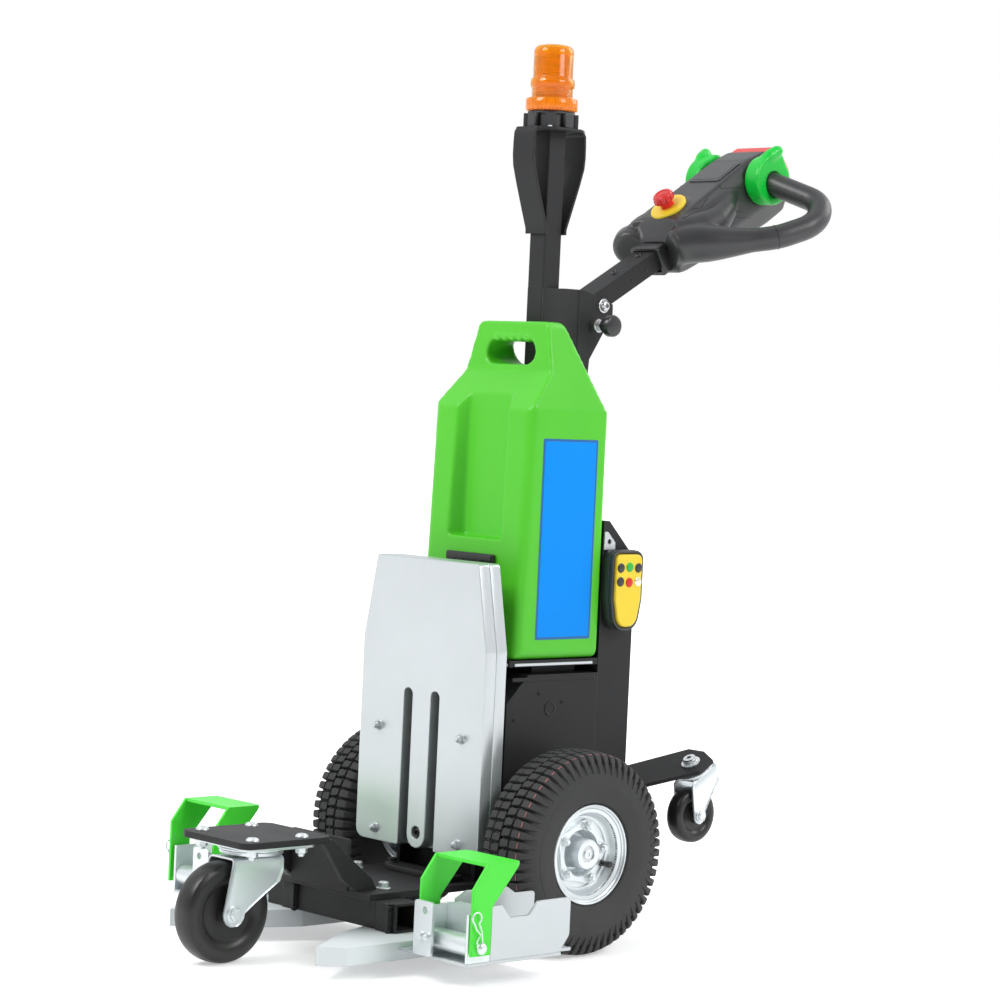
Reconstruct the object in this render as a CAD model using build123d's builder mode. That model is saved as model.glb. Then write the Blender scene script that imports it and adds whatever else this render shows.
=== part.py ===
"""Walk-behind electric tow tractor: two driven wheels, a swivel castor in front and a
lift-off battery canister, steered by a folding tiller.
The castor end faces -Y and the operator stands at +Y. Millimetres, +Z up, floor at Z = 0.
"""
from build123d import *
from itertools import product
from math import cos, radians, sin
import os

os.makedirs("parts", exist_ok=True)
pieces = {}
SIDES = (("left", -1), ("right", 1))

# Driving sizes, with depths measured back from the drive axle
tyre_radius = 130.0
tyre_width = 76.0
wheel_x = 168.0
castor_back = 384.0
castor_trail = 42.0
castor_radius = 62.5
mast_back = 62.0
mast_size = 30.0
pivot_back = 147.0
pivot_z = 827.0
tiller_tilt = 30.0
grip_back = 333.0
grip_radius = 16.5
head_rear = 396.0
belly_low = -8.0
battery_half = 95.0
battery_bottom = 366.0
battery_shoulder = 686.0
battery_top = 800.0
running_gap = 0.05
seat_gap = 0.3

# The frame's centre lies midway between the castor's nose and the end of the tiller head
nose_back = castor_back + castor_trail + castor_radius
tiller_cos = cos(radians(tiller_tilt))
tiller_sin = sin(radians(tiller_tilt))
head_reach = pivot_back + head_rear * tiller_cos - belly_low * tiller_sin
axle_y = (nose_back - head_reach) / 2
axle_z = tyre_radius
castor_y = axle_y - castor_back
mast_y = axle_y + mast_back
pivot_y = axle_y + pivot_back

# Chassis sizes
blade_low = 18.0
blade_top = 40.0
blade_tip_inset = 23.0
blade_tip_back = 395.0
blade_corner_back = 365.0
blade_knee_x = 84.0
blade_knee_back = 305.0
blade_heel_x = 62.0
blade_heel_back = 248.0
blade_end_back = 150.0
tube_half = 125.0
tube_front_back = 255.0
tube_rear_back = 215.0
tube_height = 36.0
tube_wall = 3.0
base_thick = 8.0
base_width = 180.0
base_front_back = 268.0
cheek_x = 60.0
cheek_thick = 8.0
cheek_nose_back = 290.0
cheek_nose_z = 100.0
cheek_neck_back = 288.0
cheek_neck_z = 133.0
cheek_slope_back = 243.0
cheek_slope_z = 98.0
cheek_end_back = 235.0
arm_half = 66.0
arm_front_back = 445.0
arm_rear_back = 308.0
arm_low = 147.0
arm_thick = 8.0
arm_corner = 14.0

tube_low = blade_top
tube_top = tube_low + tube_height
base_low = tube_top
base_top = base_low + base_thick

# Housing, column and battery shelf sizes
housing_half = 95.0
housing_front_back = -58.0
housing_rear_back = 102.0
housing_top = 347.0
housing_chamfer = 36.0
housing_wall = 3.0
axle_tube_diameter = 46.0
shelf_half = 93.0
shelf_thick = 8.0
shelf_front_back = -54.0
shelf_foot = 40.0
column_half = 92.0
column_front_back = 104.0
column_rear_back = 164.0
column_top = 545.0
column_slope = 50.0
shelf_top = battery_bottom - seat_gap
shelf_low = shelf_top - shelf_thick

# Ballast plates in front
ballast_front_back = -119.0
ballast_thick = 18.0
ballast_half = 119.0
ballast_head_half = 98.0
ballast_low = 118.0
ballast_top = 490.0
ballast_kink = 380.0
ballast_corner = 14.0
slot_x = 26.0
slot_width = 17.0
slot_top = 322.0
tongue_low = 112.0
tongue_hole_z = 138.0
tongue_hole = 16.0
stud_high = 268.0
stud_low = 134.0
stud_x = 80.0
stud_diameter = 12.0
stud_length = 13.0
frame_plate_half = 76.0
frame_plate_thick = 6.0
frame_plate_top = 470.0
frame_plate_low = 114.0
frame_rib_thick = 6.0

with BuildPart() as base:
    with BuildSketch(Plane.XY.offset(base_low)):
        with Locations((0, axle_y + (column_rear_back - base_front_back) / 2)):
            Rectangle(base_width, column_rear_back + base_front_back)
    extrude(amount=base_thick)
pieces["chassis_base"] = base.part

with BuildPart() as cross:
    with BuildSketch(Plane.YZ.offset(-tube_half)):
        with Locations((axle_y - (tube_front_back + tube_rear_back) / 2, (tube_low + tube_top) / 2)):
            Rectangle(tube_front_back - tube_rear_back, tube_height)
            Rectangle(tube_front_back - tube_rear_back - 2 * tube_wall, tube_height - 2 * tube_wall,
                      mode=Mode.SUBTRACT)
    extrude(amount=2 * tube_half)
pieces["cross_tube"] = cross.part

with BuildPart() as arm:
    with BuildSketch(Plane.XY.offset(arm_low)):
        with Locations((0, axle_y - (arm_front_back + arm_rear_back) / 2)):
            RectangleRounded(2 * arm_half, arm_front_back - arm_rear_back, arm_corner)
    extrude(amount=arm_thick)
    for side, sign in SIDES:
        with BuildSketch(Plane.YZ.offset(sign * cheek_x - cheek_thick / 2)):
            with BuildLine():
                Polyline(
                    (axle_y - base_front_back, base_top),
                    (axle_y - cheek_nose_back, cheek_nose_z),
                    (axle_y - arm_rear_back - arm_corner, arm_low),
                    (axle_y - arm_rear_back - arm_corner, arm_low + arm_thick / 2),
                    (axle_y - arm_rear_back, arm_low + arm_thick / 2),
                    (axle_y - cheek_neck_back, cheek_neck_z),
                    (axle_y - cheek_slope_back, cheek_slope_z),
                    (axle_y - cheek_end_back, base_top),
                    close=True)
            make_face()
        extrude(amount=cheek_thick)
pieces["castor_arm"] = arm.part

# Box over the drive: chamfered at its top front edge, with the axle tubes through its sides
with BuildPart() as housing:
    for inset, way in ((0, Mode.ADD), (housing_wall, Mode.SUBTRACT)):
        with BuildSketch(Plane.YZ.offset(inset - housing_half)):
            with BuildLine():
                Polyline(
                    (axle_y + housing_front_back + inset, base_top + inset),
                    (axle_y + housing_front_back + inset, housing_top - housing_chamfer - inset),
                    (axle_y + housing_front_back + housing_chamfer + inset, housing_top - inset),
                    (axle_y + housing_rear_back - inset, housing_top - inset),
                    (axle_y + housing_rear_back - inset, base_top + inset),
                    close=True)
            make_face()
        extrude(amount=2 * (housing_half - inset), mode=way)
    with BuildSketch(Plane.YZ.offset(-housing_half)):
        with Locations((axle_y, axle_z)):
            Circle(axle_tube_diameter / 2)
    extrude(amount=2 * housing_half, mode=Mode.SUBTRACT)
pieces["drive_housing"] = housing.part

with BuildPart() as shelf:
    with BuildSketch(Plane.XY.offset(shelf_low)):
        with Locations((0, axle_y + (shelf_front_back + housing_rear_back) / 2)):
            Rectangle(2 * shelf_half, housing_rear_back - shelf_front_back)
    extrude(amount=shelf_thick)
    with BuildSketch(Plane.XY.offset(housing_top)):
        with Locations((0, axle_y + (shelf_front_back + housing_chamfer + housing_rear_back) / 2)):
            Rectangle(2 * shelf_half - shelf_foot, housing_rear_back - shelf_front_back - 2 * shelf_foot)
    extrude(amount=shelf_low - housing_top)
pieces["battery_shelf"] = shelf.part

with BuildPart() as column:
    for inset, way in ((0, Mode.ADD), (housing_wall, Mode.SUBTRACT)):
        with BuildSketch(Plane.YZ.offset(inset - column_half)):
            with BuildLine():
                Polyline(
                    (axle_y + column_front_back + inset, base_top + inset),
                    (axle_y + column_front_back + inset, column_top - inset),
                    (axle_y + column_rear_back - column_slope, column_top - inset),
                    (axle_y + column_rear_back - inset, column_top - column_slope),
                    (axle_y + column_rear_back - inset, base_top + inset),
                    close=True)
            make_face()
        extrude(amount=2 * (column_half - inset), mode=way)
pieces["column"] = column.part

# Two ballast plates: waisted outline, the front one slotted round a hanging tongue
ballast_outline = [
    (-ballast_half, ballast_low), (-ballast_half, ballast_kink), (-ballast_head_half, ballast_top),
    (ballast_head_half, ballast_top), (ballast_half, ballast_kink), (ballast_half, ballast_low)]
ballast_y = axle_y + ballast_front_back
for layer, name in enumerate(("front", "rear")):
    with BuildPart() as ballast:
        with BuildSketch(Plane.XZ.offset(-ballast_y - layer * ballast_thick)):
            with BuildLine():
                Polyline(*ballast_outline, close=True)
            make_face()
            fillet([v for v in vertices() if abs(v.Z) < ballast_kink], ballast_corner)
            if name == "front":
                slot_low = tongue_low - ballast_corner
                for sign in (-1, 1):
                    with BuildLine():
                        Polyline(
                            (sign * (slot_x - slot_width / 2), slot_low),
                            (sign * (slot_x - slot_width / 2), slot_top - slot_width / 2),
                            (sign * (slot_x + slot_width / 2), slot_top - slot_width / 2),
                            (sign * (slot_x + slot_width / 2), slot_low),
                            close=True)
                    make_face(mode=Mode.SUBTRACT)
                    with Locations((sign * slot_x, slot_top - slot_width / 2)):
                        Circle(slot_width / 2, mode=Mode.SUBTRACT)
                with Locations((0, tongue_hole_z)):
                    Circle(tongue_hole / 2, mode=Mode.SUBTRACT)
        extrude(amount=-ballast_thick)
        if name == "front":
            for x, z in product((-stud_x, stud_x), (stud_low, stud_high)):
                with BuildSketch(Plane.XZ.offset(-ballast_y)):
                    with Locations((x, z)):
                        RegularPolygon(stud_diameter / 2, 6)
                extrude(amount=stud_length)
    pieces[f"ballast_{name}"] = ballast.part

# Upright frame that carries the ballast, standing on the base in front of the housing
frame_front = ballast_y + 2 * ballast_thick
with BuildPart() as upright:
    with BuildSketch(Plane.XY.offset(frame_plate_low)):
        with Locations((0, frame_front + frame_plate_thick / 2)):
            Rectangle(2 * frame_plate_half, frame_plate_thick)
    extrude(amount=frame_plate_top - frame_plate_low)
    for sign in (-1, 1):
        rib_x = sign * (frame_plate_half - frame_rib_thick / 2) - frame_rib_thick / 2
        with BuildSketch(Plane.YZ.offset(rib_x)):
            with BuildLine():
                Polyline(
                    (frame_front, base_top),
                    (frame_front, housing_top - housing_chamfer),
                    (axle_y + housing_front_back, housing_top - housing_chamfer),
                    (axle_y + housing_front_back, base_top),
                    close=True)
            make_face()
        extrude(amount=frame_rib_thick)
pieces["front_frame"] = upright.part

# Ground blades, trays, latch brackets, pockets and levers, one set on each side
tray_low = 30.0
tray_thick = 4.0
tray_half = 290.0
tray_front_back = 284.0
tray_rear_back = 150.0
tray_tail_back = 107.0
tray_width = 122.0
pocket_width = 68.0
wall_thick = 4.0
pocket_front_back = 229.0
pocket_low_z = 80.0
pocket_high_z = 96.0
pocket_inner_z = 105.0
pocket_corner = 16.0
bracket_width = 78.0
bracket_front_back = 284.0
bracket_wall_back = 252.0
bracket_side_top = 92.0
bracket_peak_top = 97.0
bracket_wall_half = 16.0
flange_width = 32.0
flange_shift = 8.0
flange_hole = 9.0
flange_hole_z = 88.0
flange_hole_shift = 3.0
flange_gap = 6.0
flange_top = 99.0
lever_thick = 4.0
lever_gap = 5.0
lever_pivot_back = 271.0
lever_pivot_z = 53.0
lever_leg = 30.0
lever_foot = 9.0
lever_corner = 7.0
lever_knee_z = 100.0
lever_bend_z = 123.0
lever_top = 152.0
lever_top_front_back = 264.0
lever_top_rear_back = 211.0
lever_pin = 10.0
lever_pin_head = 17.0
lever_head_thick = 6.0
spacer_diameter = 26.0
tray_top = tray_low + tray_thick
blade_half = tray_half - tray_width
blade_tip_x = blade_half - blade_tip_inset
pocket_inner_x = tray_half - pocket_width
bracket_inner_x = tray_half - bracket_width
lever_outer_x = tray_half + lever_gap + lever_thick
lever_inner_x = bracket_inner_x - lever_gap - lever_thick
flange_back = bracket_front_back + flange_gap

for side, sign in SIDES:
    with BuildPart() as blade:
        with BuildSketch(Plane.XY.offset(blade_low)):
            with BuildLine():
                Polyline(
                    (sign * blade_tip_x, axle_y - blade_tip_back),
                    (sign * blade_half, axle_y - blade_corner_back),
                    (sign * blade_half, axle_y - blade_end_back),
                    (sign * blade_heel_x, axle_y - blade_end_back),
                    (sign * blade_heel_x, axle_y - blade_heel_back),
                    (sign * blade_knee_x, axle_y - blade_knee_back),
                    close=True)
            make_face()
        extrude(amount=blade_top - blade_low)
    pieces[f"blade_{side}"] = blade.part

    with BuildPart() as tray:
        with BuildSketch(Plane.XY.offset(tray_low)):
            with BuildLine():
                Polyline(
                    (sign * blade_half, axle_y - tray_front_back),
                    (sign * tray_half, axle_y - tray_front_back),
                    (sign * tray_half, axle_y - tray_tail_back),
                    (sign * pocket_inner_x, axle_y - tray_tail_back),
                    (sign * pocket_inner_x, axle_y - tray_rear_back),
                    (sign * blade_half, axle_y - tray_rear_back),
                    close=True)
            make_face()
        extrude(amount=tray_thick)
        pocket_x = sign * (pocket_inner_x + tray_half) / 2
        outer_wall = [
            (-pocket_front_back, tray_top), (-pocket_front_back, pocket_high_z),
            (-pocket_front_back + pocket_corner, pocket_high_z),
            (-pocket_front_back + 2 * pocket_corner, pocket_low_z),
            (-tray_tail_back - 3 * pocket_corner, pocket_low_z),
            (-tray_tail_back - 2 * pocket_corner, pocket_high_z),
            (-tray_tail_back, pocket_high_z), (-tray_tail_back, tray_top + pocket_corner),
            (-tray_tail_back - pocket_corner, tray_top)]
        inner_wall = [
            (-pocket_front_back, tray_top), (-pocket_front_back, pocket_high_z),
            (-pocket_front_back + pocket_corner, pocket_inner_z),
            (-tray_tail_back - 3 * pocket_corner, pocket_inner_z),
            (-tray_tail_back - 2 * pocket_corner, pocket_high_z),
            (-tray_tail_back, pocket_high_z), (-tray_tail_back, tray_top)]
        with BuildSketch(Plane.XY.offset(tray_top)):
            with Locations((pocket_x, axle_y - (pocket_front_back + tray_tail_back) / 2)):
                Rectangle(pocket_width - 2 * wall_thick, pocket_front_back - tray_tail_back)
        extrude(amount=wall_thick)
        for outline, near_x in ((outer_wall, tray_half - wall_thick), (inner_wall, pocket_inner_x)):
            with BuildSketch(Plane.YZ.offset(sign * (near_x + wall_thick / 2) - wall_thick / 2)):
                with BuildLine():
                    Polyline(*[(axle_y + depth, z) for depth, z in outline], close=True)
                make_face()
            extrude(amount=wall_thick)
    pieces[f"pocket_tray_{side}"] = tray.part

    # Zinc bracket open to the front, with its pin and spacer roller
    with BuildPart() as bracket:
        for near_x in (bracket_inner_x, tray_half - wall_thick):
            with BuildSketch(Plane.YZ.offset(sign * (near_x + wall_thick / 2) - wall_thick / 2)):
                with Locations((axle_y - (bracket_front_back + bracket_wall_back) / 2,
                                (tray_top + bracket_side_top) / 2)):
                    Rectangle(bracket_front_back - bracket_wall_back, bracket_side_top - tray_top)
                with Locations((axle_y - lever_pivot_back, lever_pivot_z)):
                    Circle(lever_pin / 2 + running_gap, mode=Mode.SUBTRACT)
            extrude(amount=wall_thick)
        bracket_mid = sign * (bracket_inner_x + tray_half) / 2
        bracket_half = (tray_half - bracket_inner_x) / 2
        with BuildSketch(Plane.XZ.offset(-axle_y + bracket_wall_back)):
            with BuildLine():
                Polyline(
                    (bracket_mid - bracket_half, tray_top),
                    (bracket_mid - bracket_half, bracket_side_top),
                    (bracket_mid - bracket_wall_half, bracket_peak_top),
                    (bracket_mid + bracket_wall_half, bracket_peak_top),
                    (bracket_mid + bracket_half, bracket_side_top),
                    (bracket_mid + bracket_half, tray_top),
                    close=True)
            make_face()
        extrude(amount=-wall_thick)
        # Bolting flange across the side plate, in front of the lever's inner leg
        flange_x = sign * (bracket_inner_x + flange_shift)
        with BuildSketch(Plane.XZ.offset(-axle_y + flange_back)):
            with Locations((flange_x, (tray_top + flange_top) / 2)):
                RectangleRounded(flange_width, flange_top - tray_top, wall_thick)
            with Locations((flange_x + sign * flange_hole_shift, flange_hole_z)):
                Circle(flange_hole / 2, mode=Mode.SUBTRACT)
        extrude(amount=wall_thick)
        flange_front = flange_back + wall_thick
        with BuildSketch(Plane.YZ.offset(sign * (bracket_inner_x + wall_thick / 2) - wall_thick / 2)):
            with Locations((axle_y - (flange_front + bracket_front_back) / 2,
                            (tray_top + bracket_side_top) / 2)):
                Rectangle(flange_front - bracket_front_back, bracket_side_top - tray_top)
        extrude(amount=wall_thick)
    pieces[f"latch_bracket_{side}"] = bracket.part

    with BuildPart() as pin:
        with BuildSketch(Plane.YZ.offset(sign * lever_inner_x)):
            with Locations((axle_y - lever_pivot_back, lever_pivot_z)):
                Circle(lever_pin / 2)
        extrude(amount=sign * (lever_outer_x - lever_inner_x))
        for x, way in ((lever_outer_x, sign), (lever_inner_x, -sign)):
            with BuildSketch(Plane.YZ.offset(sign * x)):
                with Locations((axle_y - lever_pivot_back, lever_pivot_z)):
                    RegularPolygon(lever_pin_head / 2, 6)
            extrude(amount=way * lever_head_thick)
        with BuildSketch(Plane.YZ.offset(sign * (bracket_inner_x + wall_thick + seat_gap))):
            with Locations((axle_y - lever_pivot_back, lever_pivot_z)):
                Circle(spacer_diameter / 2)
        extrude(amount=sign * (tray_half - bracket_inner_x - 2 * wall_thick - 2 * seat_gap))
    pieces[f"lever_pin_{side}"] = pin.part

    # Dog-leg lever: two legs and a top plate folded from one strip
    lever_profile = [
        (-lever_pivot_back - lever_leg / 2, lever_pivot_z - lever_foot),
        (-lever_pivot_back - lever_leg / 2, lever_bend_z),
        (-lever_top_front_back, lever_top),
        (-lever_top_rear_back, lever_top),
        (-lever_pivot_back + lever_leg / 2, lever_knee_z),
        (-lever_pivot_back + lever_leg / 2, lever_pivot_z - lever_foot)]
    with BuildPart() as lever:
        for near_x in (lever_inner_x, lever_outer_x - lever_thick):
            with BuildSketch(Plane.YZ.offset(sign * (near_x + lever_thick / 2) - lever_thick / 2)):
                with BuildLine():
                    Polyline(*[(axle_y + depth, z) for depth, z in lever_profile], close=True)
                make_face()
                with Locations((axle_y - lever_pivot_back, lever_pivot_z)):
                    Circle(lever_pin / 2 + running_gap, mode=Mode.SUBTRACT)
            extrude(amount=lever_thick)
        with BuildSketch(Plane.XY.offset(lever_top - lever_thick)):
            with Locations((sign * (lever_inner_x + lever_outer_x) / 2,
                            axle_y - (lever_top_front_back + lever_top_rear_back) / 2)):
                Rectangle(lever_outer_x - lever_inner_x, lever_top_front_back - lever_top_rear_back)
        extrude(amount=lever_thick)
        fillet(lever.edges().filter_by(Axis.Z).group_by(Axis.Y)[-1], lever_corner)
    pieces[f"latch_lever_{side}"] = lever.part

# Drive: gear and motor block with its axle tubes, a shaft in each end, rims and tyres
drive_half = 70.0
drive_depth = 96.0
drive_height = 130.0
axle_tube_x = 128.0
shaft_diameter = 20.0
shaft_inner_x = 60.0
rim_radius = 62.5
rim_half = 33.0
barrel_radius = 48.0
rim_wall = 3.0
disc_x = -4.0
disc_thick = 4.0
hub_radius = 29.0
hub_face_radius = 19.0
hub_face_x = 27.0
hub_back_x = -28.0
rim_bolt_circle = 35.0
rim_bolt_radius = 5.5
rim_bolt_height = 5.0
rim_bolts = 5
tyre_bead_radius = 52.0
shoulder_drop = 12.0
crown_half = 22.0

with BuildPart() as drive:
    with BuildSketch(Plane.XY.offset(base_top + housing_wall)):
        with Locations((0, axle_y)):
            Rectangle(2 * drive_half, drive_depth)
    extrude(amount=drive_height)
    with BuildSketch(Plane.YZ.offset(-axle_tube_x)):
        with Locations((axle_y, axle_z)):
            Circle(axle_tube_diameter / 2)
    extrude(amount=2 * axle_tube_x)
    for sign in (-1, 1):
        with BuildSketch(Plane.YZ.offset(sign * shaft_inner_x)):
            with Locations((axle_y, axle_z)):
                Circle(shaft_diameter / 2 + running_gap)
        extrude(amount=sign * (axle_tube_x - shaft_inner_x), mode=Mode.SUBTRACT)
pieces["drive_unit"] = drive.part

hub_x = wheel_x + hub_face_x
for side, sign in SIDES:
    wheel_at = (sign * wheel_x, axle_y, axle_z)
    wheel_plane = Plane(origin=wheel_at, x_dir=(0, 1, 0), z_dir=(sign, 0, 0))
    profile_plane = Plane(origin=wheel_at, x_dir=(sign, 0, 0), z_dir=(0, -sign, 0))

    with BuildPart() as shaft:
        with BuildSketch(Plane.YZ.offset(sign * (shaft_inner_x + seat_gap))):
            with Locations((axle_y, axle_z)):
                Circle(shaft_diameter / 2)
        extrude(amount=sign * (hub_x - shaft_inner_x - seat_gap))
    pieces[f"drive_shaft_{side}"] = shaft.part

    # Profiles run in depth from the wheel's mid-plane, outwards positive, and radius
    with BuildPart() as rim:
        with BuildSketch(profile_plane):
            with BuildLine():
                Polyline(
                    (-rim_half, rim_radius), (-rim_half, rim_radius - rim_wall),
                    (-rim_half + rim_wall, barrel_radius - rim_wall), (disc_x, barrel_radius - rim_wall),
                    (disc_x, hub_radius), (hub_back_x, hub_radius), (hub_back_x, shaft_diameter / 2),
                    (hub_face_x, shaft_diameter / 2), (hub_face_x, hub_face_radius),
                    (disc_x + disc_thick, hub_radius), (disc_x + disc_thick, barrel_radius - rim_wall),
                    (rim_half - rim_wall, barrel_radius - rim_wall), (rim_half, rim_radius - rim_wall),
                    (rim_half, rim_radius), (rim_half - rim_wall, rim_radius),
                    (rim_half - 2 * rim_wall, tyre_bead_radius),
                    (-rim_half + 2 * rim_wall, tyre_bead_radius),
                    (-rim_half + rim_wall, rim_radius),
                    close=True)
            make_face()
        revolve(axis=Axis(wheel_at, (1, 0, 0)))
        with BuildSketch(wheel_plane.offset(disc_x + disc_thick)):
            with PolarLocations(rim_bolt_circle, rim_bolts):
                RegularPolygon(rim_bolt_radius, 6)
        extrude(amount=rim_bolt_height)
    pieces[f"rim_{side}"] = rim.part

    # The tyre's cross-section: flat crown, round shoulders, and beads seated in the rim
    bulge_radius = (tyre_radius + rim_radius) / 2
    lip_x = rim_half - rim_wall
    bead_x = rim_half - 2 * rim_wall - seat_gap
    with BuildPart() as tyre:
        with BuildSketch(profile_plane):
            with BuildLine():
                Line((-crown_half, tyre_radius), (crown_half, tyre_radius))
                ThreePointArc((crown_half, tyre_radius),
                              (tyre_width / 2 - shoulder_drop / 3, tyre_radius - shoulder_drop),
                              (tyre_width / 2, bulge_radius))
                Polyline((tyre_width / 2, bulge_radius), (lip_x, rim_radius + seat_gap),
                         (bead_x, tyre_bead_radius + seat_gap), (-bead_x, tyre_bead_radius + seat_gap),
                         (-lip_x, rim_radius + seat_gap), (-tyre_width / 2, bulge_radius))
                ThreePointArc((-tyre_width / 2, bulge_radius),
                              (-tyre_width / 2 + shoulder_drop / 3, tyre_radius - shoulder_drop),
                              (-crown_half, tyre_radius))
            make_face()
        revolve(axis=Axis(wheel_at, (1, 0, 0)))
    pieces[f"tyre_{side}"] = tyre.part

# Front swivel castor: top plate with nuts, pressed fork and wheel
castor_plate_x = 62.0
castor_plate_y = 52.0
castor_plate_thick = 4.0
castor_hole_x = 50.0
castor_hole_y = 38.0
nut_radius = 8.0
nut_height = 8.0
head_radius = 41.0
head_height = 12.0
kingpin_radius = 8.0
fork_top_gap = 2.0
fork_wall = 3.0
fork_half = 25.0
fork_crown_front = 20.0
fork_leg_front = 46.0
fork_leg_rear = 31.0
fork_leg_drop = 26.0
fork_foot_radius = 16.0
castor_width = 36.0
castor_bore = 6.0
castor_edge = 9.0
castor_axle_head = 10.0
castor_axle_over = 7.0
castor_plate_low = arm_low - castor_plate_thick
head_low = castor_plate_low - head_height
fork_top = head_low - fork_top_gap
castor_wheel_y = castor_y - castor_trail

with BuildPart() as castor_head:
    with BuildSketch(Plane.XY.offset(castor_plate_low)):
        with Locations((0, castor_y)):
            RectangleRounded(2 * castor_plate_x, 2 * castor_plate_y, arm_corner / 2)
    extrude(amount=castor_plate_thick)
    with BuildSketch(Plane.XY.offset(head_low)):
        with Locations((0, castor_y)):
            Circle(head_radius)
    extrude(amount=head_height)
    with BuildSketch(Plane.XY.offset(fork_top - fork_wall - fork_top_gap)):
        with Locations((0, castor_y)):
            Circle(kingpin_radius)
    extrude(amount=head_low - fork_top + fork_wall + fork_top_gap)
    with BuildSketch(Plane.XY.offset(castor_plate_low - nut_height)):
        with Locations((0, castor_y)):
            with GridLocations(2 * castor_hole_x, 2 * castor_hole_y, 2, 2):
                RegularPolygon(nut_radius, 6)
    extrude(amount=nut_height)
pieces["front_castor_head"] = castor_head.part

with BuildPart() as fork:
    with BuildSketch(Plane.XY.offset(fork_top - fork_wall)):
        with Locations((0, castor_y + (fork_leg_rear - fork_crown_front) / 2)):
            Rectangle(2 * fork_half, fork_leg_rear + fork_crown_front)
        with Locations((0, castor_y)):
            Circle(kingpin_radius + running_gap, mode=Mode.SUBTRACT)
    extrude(amount=fork_wall)
    for sign in (-1, 1):
        with BuildSketch(Plane.YZ.offset(sign * (fork_half - fork_wall / 2) - fork_wall / 2)):
            with BuildLine():
                Polyline(
                    (castor_y - fork_leg_front, fork_top),
                    (castor_y + fork_leg_rear, fork_top),
                    (castor_y + fork_leg_rear, fork_top - fork_leg_drop),
                    (castor_wheel_y + fork_foot_radius, castor_radius),
                    (castor_wheel_y - fork_foot_radius, castor_radius),
                    close=True)
            make_face()
            with Locations((castor_wheel_y, castor_radius)):
                Circle(fork_foot_radius)
        extrude(amount=fork_wall)
    with BuildSketch(Plane.YZ.offset(-fork_half - castor_axle_over)):
        with Locations((castor_wheel_y, castor_radius)):
            Circle(castor_bore)
    extrude(amount=2 * (fork_half + castor_axle_over))
    for sign in (-1, 1):
        with BuildSketch(Plane.YZ.offset(sign * fork_half)):
            with Locations((castor_wheel_y, castor_radius)):
                RegularPolygon(castor_axle_head, 6)
        extrude(amount=sign * castor_axle_over)
pieces["front_castor_fork"] = fork.part

with BuildPart() as castor_wheel:
    with BuildSketch(Plane(origin=(0, castor_wheel_y, castor_radius), x_dir=(1, 0, 0), z_dir=(0, -1, 0))):
        castor_ring = (castor_radius + castor_bore + running_gap) / 2
        with Locations((0, castor_ring)):
            Rectangle(castor_width, castor_radius - castor_bore - running_gap)
        fillet(vertices().group_by(Axis.Z)[-1], castor_edge)
    revolve(axis=Axis((0, castor_wheel_y, castor_radius), (1, 0, 0)))
pieces["front_castor_wheel"] = castor_wheel.part

# Rear support castors, clear of the floor until the tractor is rocked back on its axle
rear_tilt = 30.0
rear_x = 134.0
rear_head_back = 245.0
rear_head_z = 226.0
rear_arm_thick = 5.0
rear_arm_root = 60.0
rear_arm_root_x = 50.0
rear_arm_round = 28.0
rear_head_radius = 26.0
rear_head_height = 9.0
rear_fork_drop = 57.0
rear_trail = 31.0
rear_radius = 37.0
rear_width = 24.0
rear_fork_half = 17.0
rear_fork_wall = 2.5
rear_fork_leg = 52.0
rear_fork_foot = 22.0
rear_fork_shoulder = 16.0
rear_bore = 4.0
rear_axle_head = 7.0
rear_axle_over = 5.0
rear_bolt_radius = 9.0
rear_bolt_height = 8.0
rear_kingpin = 6.0
rear_edge = 6.0
rear_cos = cos(radians(rear_tilt))
rear_sin = sin(radians(rear_tilt))
rear_head_y = axle_y + rear_head_back
rear_arm_start = (rear_head_back - column_rear_back) / rear_cos + rear_arm_thick
rear_normal = (0, -rear_sin, rear_cos)
rear_plate_plane = Plane(origin=(0, rear_head_y, rear_head_z), x_dir=(1, 0, 0), z_dir=rear_normal)

with BuildPart() as rear_plate:
    with BuildSketch(rear_plate_plane.offset(-rear_arm_thick)):
        with BuildLine():
            Polyline(
                (-rear_arm_root_x, -rear_arm_start), (rear_arm_root_x, -rear_arm_start),
                (rear_x + rear_arm_round, -rear_arm_round / 2),
                (rear_x + rear_arm_round, rear_arm_round / 2),
                (rear_x, rear_arm_round), (rear_x - rear_arm_round, rear_arm_round),
                (0, -rear_arm_root),
                (-rear_x + rear_arm_round, rear_arm_round), (-rear_x, rear_arm_round),
                (-rear_x - rear_arm_round, rear_arm_round / 2),
                (-rear_x - rear_arm_round, -rear_arm_round / 2),
                close=True)
        make_face()
    extrude(amount=rear_arm_thick)
    split(bisect_by=Plane.XZ.offset(-axle_y - column_rear_back), keep=Keep.BOTTOM)
    with BuildSketch(rear_plate_plane):
        with Locations((-rear_x, 0), (rear_x, 0)):
            Circle(rear_bolt_radius)
    extrude(amount=rear_bolt_height)
pieces["rear_castor_plate"] = rear_plate.part

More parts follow.
